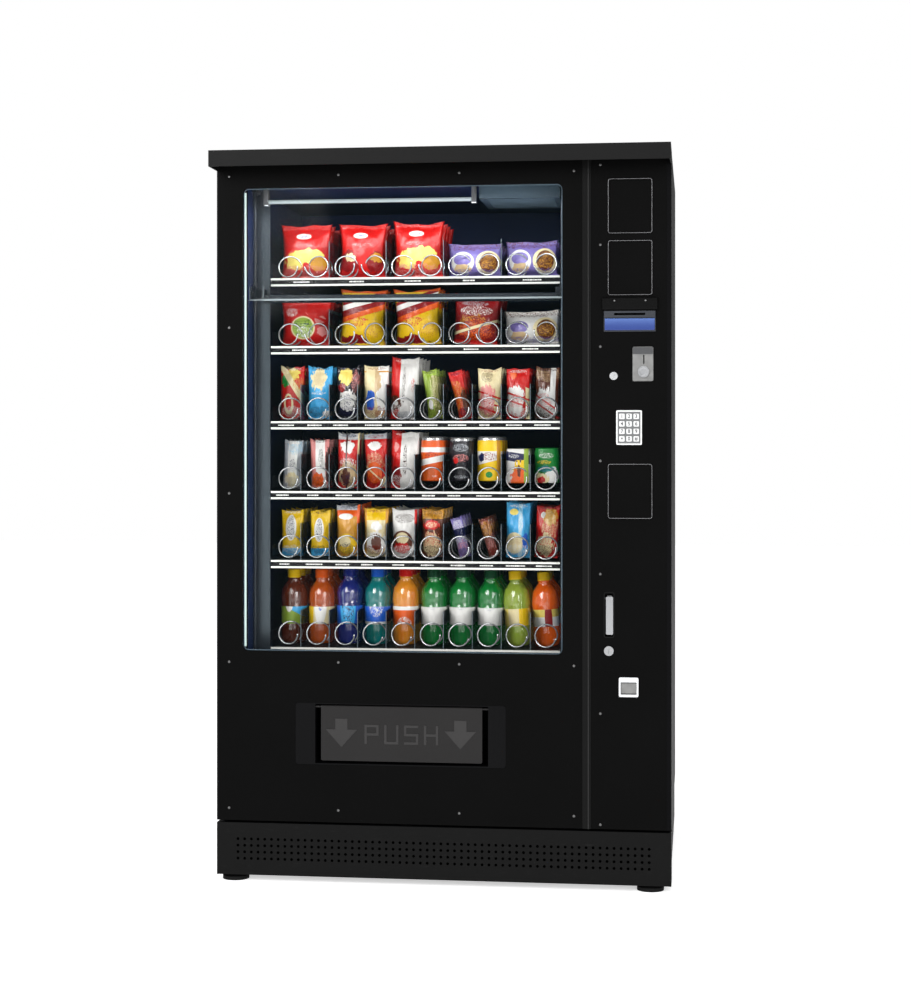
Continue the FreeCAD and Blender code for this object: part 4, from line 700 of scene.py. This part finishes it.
def cans():
    """The tubs, cans and cartons at the right of tray 4."""
    black = FINISHES["plastic_black"]
    shapes = (
        ("can_orange", 32, 138, 2.4, "orange", (
            ("band", (0.70, 0.80), "white"), ("marks", (0.5, 0.63, 0.34, 0.09), "dark red"),
            ("slant", (0.44, 0.56, -0.1), "white"), ("blob", (0.4, 0.3, 0.2, 0.12), "amber"),
            ("marks", (0.6, 0.25, 0.12, 0.02), "white"))),
        ("can_black", 32, 136, 2.2, "ink", (
            ("marks", (0.5, 0.8, 0.34, 0.08), "silver"), ("marks", (0.5, 0.6, 0.34, 0.08), "pink"),
            ("blob", (0.3, 0.56, 0.1, 0.06), "red"), ("band", (0.36, 0.40), "black"),
            ("marks", (0.5, 0.24, 0.3, 0.03), "silver"))),
        ("can_yellow", 33, 138, 2.4, "white", (
            ("band", (0.72, 1.01), "yellow"), ("marks", (0.5, 0.63, 0.34, 0.08), "dark red"),
            ("blob", (0.2, 0.6, 0.12, 0.08), "navy"), ("slant", (0.08, 0.46, -0.12), "yellow"),
            ("oval", (0.5, 0.28, 0.14, 0.06), "green"), ("stripe", (0.8, 0.95), "gold"))),
        ("carton_pear", 32, 106, 6.0, "white", (
            ("slant", (0.72, 0.95, 0.1), "navy"), ("marks", (0.34, 0.82, 0.22, 0.05), "white"),
            ("blob", (0.62, 0.42, 0.3, 0.3), "yellow"), ("blob", (0.56, 0.28, 0.36, 0.22), "orange"),
            ("blob", (0.55, 0.46, 0.08, 0.16), "brown"), ("stripe", (0.75, 0.94), "lime"))),
        ("tub_green", 33, 108, 3.0, "green", (
            ("marks", (0.5, 0.82, 0.3, 0.07), "white"), ("marks", (0.4, 0.66, 0.3, 0.05), "yellow"),
            ("blob", (0.7, 0.34, 0.3, 0.2), "white"), ("blob", (0.3, 0.26, 0.3, 0.14), "cream"),
            ("blob", (0.3, 0.24, 0.16, 0.09), "red"), ("blob", (0.45, 0.5, 0.3, 0.08), "teal"))),
    )
    for lane, (key, half, height, square, base, layers) in enumerate(shapes, start=5):
        foot = 0.16 * height
        profile = [
            (0, half * 0.62, half * 0.5, 0), (3, half * 0.72, half * 0.58, 0),
            (foot, half * 0.94, half * 0.76, 0),
            (foot + 0.5, half * 0.97, half * 0.80, 1), (foot + 4, half, half * 0.82, 1),
            (height * 0.86, half, half * 0.82, 1), (height * 0.93, half * 0.97, half * 0.79, 1),
            (height * 0.965, half * 0.93, half * 0.76, 2), (height, half * 0.93, half * 0.76, 2),
            (height, half * 0.88, half * 0.71, 2), (height - 2, half * 0.86, half * 0.70, 2),
        ]
        mesh = lofted_mesh(key, profile, square)
        mesh.materials.append(black)
        mesh.materials.append(printed(key, base, layers, foil=0.32, seals=False))
        mesh.materials.append(FINISHES["chrome"] if square < 3 else mesh.materials[1])
        stack(key, mesh, 4, FIRST_LANE + LANE * lane, first=-112, count=3, lift=4)


def bottle_profile(half, height, waist):
    """A drink bottle from the foot up: skin 0 is liquid, 1 the label, 2 the neck and 3 the cap."""
    neck, cap = half * 0.42, half * 0.50
    shoulder = height * 0.80
    return [
        (0, half * 0.70, half * 0.70, 0), (3, half * 0.86, half * 0.86, 0), (12, half * 0.96, half * 0.96, 0),
        (height * 0.20, half, half, 0), (height * 0.27, half * 0.97, half * 0.97, 0),
        (height * 0.30, half * 0.985, half * 0.985, 1), (height * 0.50, half * 0.985, half * 0.985, 1),
        (height * 0.52, half * waist, half * waist, 0),
        (height * 0.58, half * (waist + 0.04), half * (waist + 0.04), 0),
        (height * 0.66, half * 0.98, half * 0.98, 0), (height * 0.74, half * 0.90, half * 0.90, 0),
        (shoulder, half * 0.66, half * 0.66, 0), (height * 0.86, neck, neck, 2),
        (height * 0.875, neck * 1.25, neck * 1.25, 2),
        (height * 0.885, neck * 1.25, neck * 1.25, 2), (height * 0.89, cap, cap, 3),
        (height * 0.985, cap, cap, 3),
        (height, cap * 0.9, cap * 0.9, 3),
    ]


def bottles():
    """Tray 6: ten kinds of bottle."""
    green_label = (("band", (0.08, 0.2), "silver"), ("marks", (0.5, 0.6, 0.3, 0.14), "silver"))
    cases = (
        ("bottle_tea", 35, 196, 0.95, "tea", "cocoa", "yellow", "lime",
         (("slant", (0.55, 0.98, 0.2), "sky"), ("oval", (0.4, 0.66, 0.2, 0.24), "white"),
          ("band", (0.0, 0.3), "lime")), 0),
        ("bottle_amber", 35, 196, 0.95, "amber", "tea", "orange", "cream",
         (("oval", (0.52, 0.6, 0.26, 0.36), "white"), ("marks", (0.52, 0.6, 0.12, 0.16), "blue"),
          ("stripe", (0.0, 0.25), "yellow")), 0),
        ("bottle_navy", 35, 202, 0.88, "deep blue", "navy", "deep blue", "blue",
         (("oval", (0.5, 0.5, 0.3, 0.4), "sky"), ("marks", (0.5, 0.5, 0.24, 0.24), "navy")), 0),
        ("bottle_teal", 35, 200, 0.92, "teal", "dark green", "blue", "white",
         (("band", (0.3, 0.75), "blue"), ("marks", (0.5, 0.52, 0.3, 0.16), "white")), 0),
        ("bottle_orange", 35, 202, 0.97, "gold", "amber", "red", "orange",
         (("band", (0.45, 0.9), "white"), ("oval", (0.5, 0.68, 0.24, 0.15), "blue"),
          ("marks", (0.5, 0.25, 0.3, 0.12), "white")), 0),
        ("bottle_green_a", 35, 200, 0.92, "green", "dark green", "dark green", "white", green_label, 0),
        ("bottle_green_b", 35, 200, 0.92, "green", "dark green", "dark green", "white", green_label, 0),
        ("bottle_green_c", 35, 198, 0.92, "green", "dark green", "dark green", "white", green_label, 0),
        ("bottle_olive", 35, 196, 1.0, "olive", "lime", "yellow", "pale yellow",
         (("oval", (0.4, 0.5, 0.2, 0.5), "cream"), ("stripe", (0.6, 0.9), "yellow")), -3),
        ("bottle_juice", 35, 194, 1.0, "orange", "amber", "yellow", "pale yellow",
         (("band", (0.0, 0.4), "white"), ("oval", (0.62, 0.35, 0.14, 0.3), "dark red"),
          ("oval", (0.4, 0.7, 0.2, 0.2), "white")), -3),
    )
    for lane, (key, half, height, waist, colour, deep, cap, label, layers, lean) in enumerate(cases):
        mesh = lofted_mesh(key, bottle_profile(half, height, waist), sides=48, knurl=(15, 16))
        mesh.materials.append(liquid(f"{key}_drink", colour, deep))
        mesh.materials.append(printed(f"{key}_label", label, layers, foil=0.4, seals=False))
        mesh.materials.append(mesh.materials[0])
        mesh.materials.append(finish(f"{key}_cap", COLOURS[cap], 0.35, bump=0.2))
        stack(key, mesh, 6, FIRST_LANE + LANE * lane, lean, first=-98, pitch=70, count=3, lift=1.5)


def digits():
    """The numbers and the two signs on the keypad, each riding on its key."""
    legends = ("1", "2", "3", "4", "5", "6", "7", "8", "9", "*", "0", "#")
    names = ("1", "2", "3", "4", "5", "6", "7", "8", "9", "star", "0", "hash")
    for index, (legend, name) in enumerate(zip(legends, names)):
        low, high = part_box(f"key_{name}")
        curve = bpy.data.curves.new(f"digit_{name}", "FONT")
        curve.body = legend
        curve.size = 0.0125
        curve.extrude = 0.00008
        curve.offset = 0.00022
        curve.align_x = "CENTER"
        curve.align_y = "CENTER"
        curve.materials.append(TRIM["digit_ink"])
        drop = 0.0015 if legend == "*" else 0.0
        middle = Vector(((low[0] + high[0]) / 2, low[1] - 0.00006, (low[2] + high[2]) / 2 - drop))
        placed(curve.name, curve, f"key_{name}", Matrix.Translation(middle) @ FACING)


def trims():
    """The second finishes of the CAD nodes that show more than one."""
    for tray, level in enumerate(TRAY_LEVELS, start=1):
        node = f"tray_{tray}"
        top, foot = level - RAIL_LIP, level - RAIL_HEIGHT + RAIL_LIP
        touch_up(node, DIVIDER, lambda x, y, z: z > level + 4 and DIVIDER_FRONT < y < DIVIDER_BACK)
        # The dividers' front edges get a paler finish: a painted highlight for the light caught in the clear
        # acrylic's edge.
        touch_up(node, TRIM["divider_edge_highlight"], lambda x, y, z: z > level + 4 and y <= DIVIDER_FRONT)
        touch_up(node, TRIM["lip_white"], lambda x, y, z: y < RAIL_FACE and (z > top or z < foot))
        touch_up(node, TRIM["strip_black"], lambda x, y, z: y < RAIL_FACE and foot <= z <= top)
    touch_up("inner_liner", FINISHES["cabinet_black"], lambda x, y, z: y < LINER_MOUTH)
    touch_up("bill_bezel", TRIM["bezel_grey"], lambda x, y, z: z <= 1430)
    touch_up("bill_bezel", TRIM["hood_black"], lambda x, y, z: z > 1430)
    touch_up("bill_bezel", lit_lens(), lambda x, y, z: 1381 < z < 1412 and 406 < x < 530 and y < -376)
    touch_up("coin_flap", TRIM["coin_steel"], lambda x, y, z: True)
    touch_up("coin_plate", TRIM["coin_steel"], lambda x, y, z: True)
    touch_up("coin_return_button", FINISHES["satin_steel"], lambda x, y, z: True)
    touch_up("keypad_plate", TRIM["seat_grey"], lambda x, y, z: y > -383)
    touch_up("centre_post", TRIM["bead_grey"], lambda x, y, z: 364.5 < x < 368.6 and y < -381.5)
    # The raised arrow and word on the flap are made lighter: a painted highlight that stands in for their lit
    # bevels.
    touch_up("delivery_flap", TRIM["raised_highlight_grey"], lambda x, y, z: y < -379.1)
    touch_up("light_tube", FINISHES["plastic_grey"], lambda x, y, z: x < -462 or x > 66)


def ring_mesh(name, low, high, y, corner, radius, material):
    """A thin rounded bead round an upright rectangle, in millimetres."""
    centres = ((high[0] - corner, high[1] - corner), (low[0] + corner, high[1] - corner),
               (low[0] + corner, low[1] + corner), (high[0] - corner, low[1] + corner))
    path = []
    for quarter, (x, z) in enumerate(centres):
        for step in range(7):
            angle = math.pi / 2 * (quarter + step / 6)
            path.append((x, z, math.cos(angle), math.sin(angle)))
    corners, faces, sides = [], [], 8
    for index, (x, z, along, up) in enumerate(path):
        for side in range(sides):
            angle = 2 * math.pi * side / sides
            out = corner + radius * math.cos(angle)
            corners.append(Vector((x + along * out, y - radius * math.sin(angle), z + up * out)) * MM)
        join_rings(faces, index * sides, (index + 1) % len(path) * sides, sides)
    mesh = mesh_of(name, corners, faces)
    return shown(name, mesh, "door", (material,))


def panel_details():
    """Pale beads round the blanking plates as painted highlights of their raised edges, and the coin plate's
    dark head.
    """
    for number, middle in enumerate((1687.5, 1535.5, 986), start=1):
        ring_mesh(f"blank_rim_highlight_{number}", (415.5, middle - 66.5), (522.5, middle + 66.5), -384.5, 5, 0.55,
                  TRIM["rim_highlight_grey"])
    low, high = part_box("coin_plate")
    corners, faces = [], []
    box_faces(corners, faces, (low[0] / MM + 0.8, low[1] / MM - 0.35, high[2] / MM - 18),
              (high[0] / MM - 0.8, low[1] / MM - 0.05, high[2] / MM - 1), 0.2)
    for line in range(3):
        z = high[2] / MM - 5 - 4.5 * line
        box_faces(corners, faces, (low[0] / MM + 3, low[1] / MM - 0.6, z - 0.6),
                  (high[0] / MM - 3, low[1] / MM - 0.36, z + 0.6), 0.1)
    mesh = mesh_of("coin_plate_head", corners, faces, smooth=False)
    shown("coin_plate_head", mesh, "door", (TRIM["band_grey"],))


def window_trims():
    """The lit jamb strip between the panes at the window's left, and the bead round the opening, whose glow
    is painted light: it is no lamp.
    """
    corners, faces = [], []
    box_faces(corners, faces, (WINDOW_LEFT + 0.5, -369, WINDOW_LOW + 10),
              (WINDOW_LEFT + 5.5, -360, WINDOW_HIGH - 10), 1.0)
    mesh = mesh_of("jamb_strip", corners, faces, smooth=False)
    shown("jamb_strip", mesh, "door", (TRIM["jamb_glow"],))
    ring_mesh("window_bead", (WINDOW_LEFT + 1.5, WINDOW_LOW + 1.5), (WINDOW_RIGHT - 1.5, WINDOW_HIGH - 1.5),
              -370.5, 12, 1.0, TRIM["rim_glow"])


def lift_trims():
    """A pale line along the lift's foot and round its drive box: a painted highlight on its folded edges."""
    low, high = (tuple(part / MM for part in corner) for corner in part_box("lift_platform"))
    front = low[1]
    corners, faces = [], []
    box_faces(corners, faces, (low[0] + 1, front - 0.6, low[2] + 1),
              (high[0] - 1, front - 0.1, low[2] + 5.5), 0.2)
    for x in (low[0] + 1, low[0] + 36):
        box_faces(corners, faces, (x, front - 0.6, low[2] + 6), (x + 1.6, front - 0.1, high[2] - 1), 0.2)
    mesh = mesh_of("lift_highlight_line", corners, faces, smooth=False)
    shown("lift_highlight_line", mesh, "lift_platform", (TRIM["lift_edge"],))


def hood_screws():
    """Two domed screws on the hood over the note slot."""
    low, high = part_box("bill_bezel")
    for number, x in enumerate((431, 507), start=1):
        mesh = lofted_mesh(f"hood_screw_{number}",
                           ((0, 2.6, 2.6, 0), (0.7, 2.5, 2.5, 0), (1.3, 1.5, 1.5, 0)), sides=24)
        mesh.materials.append(FINISHES["screw_steel"])
        place = Matrix.Translation(Vector((x * MM, low[1] - 0.0001, high[2] - 0.008)))
        placed(mesh.name, mesh, "door", place @ FACING)


def dust_filter():
    """Pleated dust filter behind the perforated plinth; its near-black stands in for the shade behind the
    holes and keeps them dark.
    """
    low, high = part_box("kick_plate")
    left, right = low[0] / MM + 12, high[0] / MM - 12
    bottom, top = low[2] / MM + 8, high[2] / MM - 8
    pleats = 90
    corners, faces = [], []
    for step in range(pleats + 1):
        x = left + (right - left) * step / pleats
        y = FILTER_FRONT + (5 if step % 2 else 0)
        for depth in (0, 1):
            for z in (bottom, top):
                corners.append(Vector((x, y + depth, z)) * MM)
        if step:
            a, b = (step - 1) * 4, step * 4
            faces += [(a, b, b + 1, a + 1), (a + 2, a + 3, b + 3, b + 2), (a, a + 2, b + 2, b),
                      (a + 1, b + 1, b + 3, a + 3)]
    faces += [(0, 1, 3, 2), (pleats * 4, pleats * 4 + 2, pleats * 4 + 3, pleats * 4 + 1)]
    mesh = mesh_of("dust_filter", corners, faces, smooth=False)
    shown("dust_filter", mesh, "cabinet", (TRIM["filter_shade_black"],))


def studio():
    """White surroundings, a pale floor, soft light outside, and the cell's own lamps."""
    scene = bpy.context.scene
    scene.view_settings.view_transform = "Standard"
    world = bpy.data.worlds.new("studio")
    scene.world = world
    world.use_nodes = True
    nodes, links = world.node_tree.nodes, world.node_tree.links
    backdrop = nodes["Background"]
    backdrop.inputs["Color"].default_value = (1, 1, 1, 1)
    backdrop.inputs["Strength"].default_value = 1.0
    fill = nodes.new("ShaderNodeBackground")
    fill.inputs["Color"].default_value = (1, 1, 1, 1)
    fill.inputs["Strength"].default_value = 0.55
    path = nodes.new("ShaderNodeLightPath")
    choose = nodes.new("ShaderNodeMixShader")
    links.new(path.outputs["Is Camera Ray"], choose.inputs["Fac"])
    links.new(fill.outputs[0], choose.inputs[1])
    links.new(backdrop.outputs[0], choose.inputs[2])
    links.new(choose.outputs[0], nodes["World Output"].inputs["Surface"])

    bpy.ops.mesh.primitive_plane_add(size=30)
    floor = bpy.context.object
    floor.name = "floor"
    floor.data.materials.append(finish("floor_white", (250, 250, 250), 0.7, specular=0.1, tint=0.01,
                                       bump=0.02, glow=0.58))

    def area(name, place, aim, wide, high, power, colour=(1, 1, 1)):
        lamp = bpy.data.lights.new(name, "AREA")
        lamp.shape = "RECTANGLE"
        lamp.size, lamp.size_y = wide, high
        lamp.energy = power
        lamp.color = colour
        holder = bpy.data.objects.new(name, lamp)
        scene.collection.objects.link(holder)
        holder.location = place
        holder.rotation_euler = (Vector(aim) - Vector(place)).to_track_quat("-Z", "Y").to_euler()
        holder.visible_camera = False
        return holder

    area("key_light", (-2.4, -5.0, 3.0), (0, -0.2, 0.9), 2.6, 2.6, 225)
    area("fill_light", (2.8, -5.0, 1.8), (0, -0.2, 0.9), 2.2, 2.6, 130)
    area("top_light", (0, -1.2, 4.4), (0, -0.2, 0), 3.0, 3.0, 60)
    area("cell_top", (-0.1, -0.285, 1.712), (-0.1, -0.05, 1.1), 0.74, 0.02, 1.15, (0.92, 0.97, 1.0))
    area("cell_left", (-0.499, -0.25, 1.15), (0.2, -0.1, 1.15), 0.02, 1.1, 0.7, (0.88, 1.0, 0.96))
    area("cell_right", (0.294, -0.25, 1.15), (-0.4, -0.1, 1.15), 0.02, 1.1, 0.7, (0.88, 1.0, 0.96))


def camera():
    data = bpy.data.cameras.new("camera")
    data.sensor_fit = "VERTICAL"
    data.sensor_height = 36
    data.lens = 70.12
    data.shift_y = -0.0598
    holder = bpy.data.objects.new("camera", data)
    holder.location = (0.631, -5.156, 1.118)
    holder.rotation_euler = (math.radians(90), 0, math.radians(7.096))
    bpy.context.scene.collection.objects.link(holder)
    bpy.context.scene.camera = holder


repaint()
trims()
spirals()
label_strips()
packs()
cans()
bottles()
digits()
panel_details()
window_trims()
lift_trims()
hood_screws()
dust_filter()
studio()
camera()
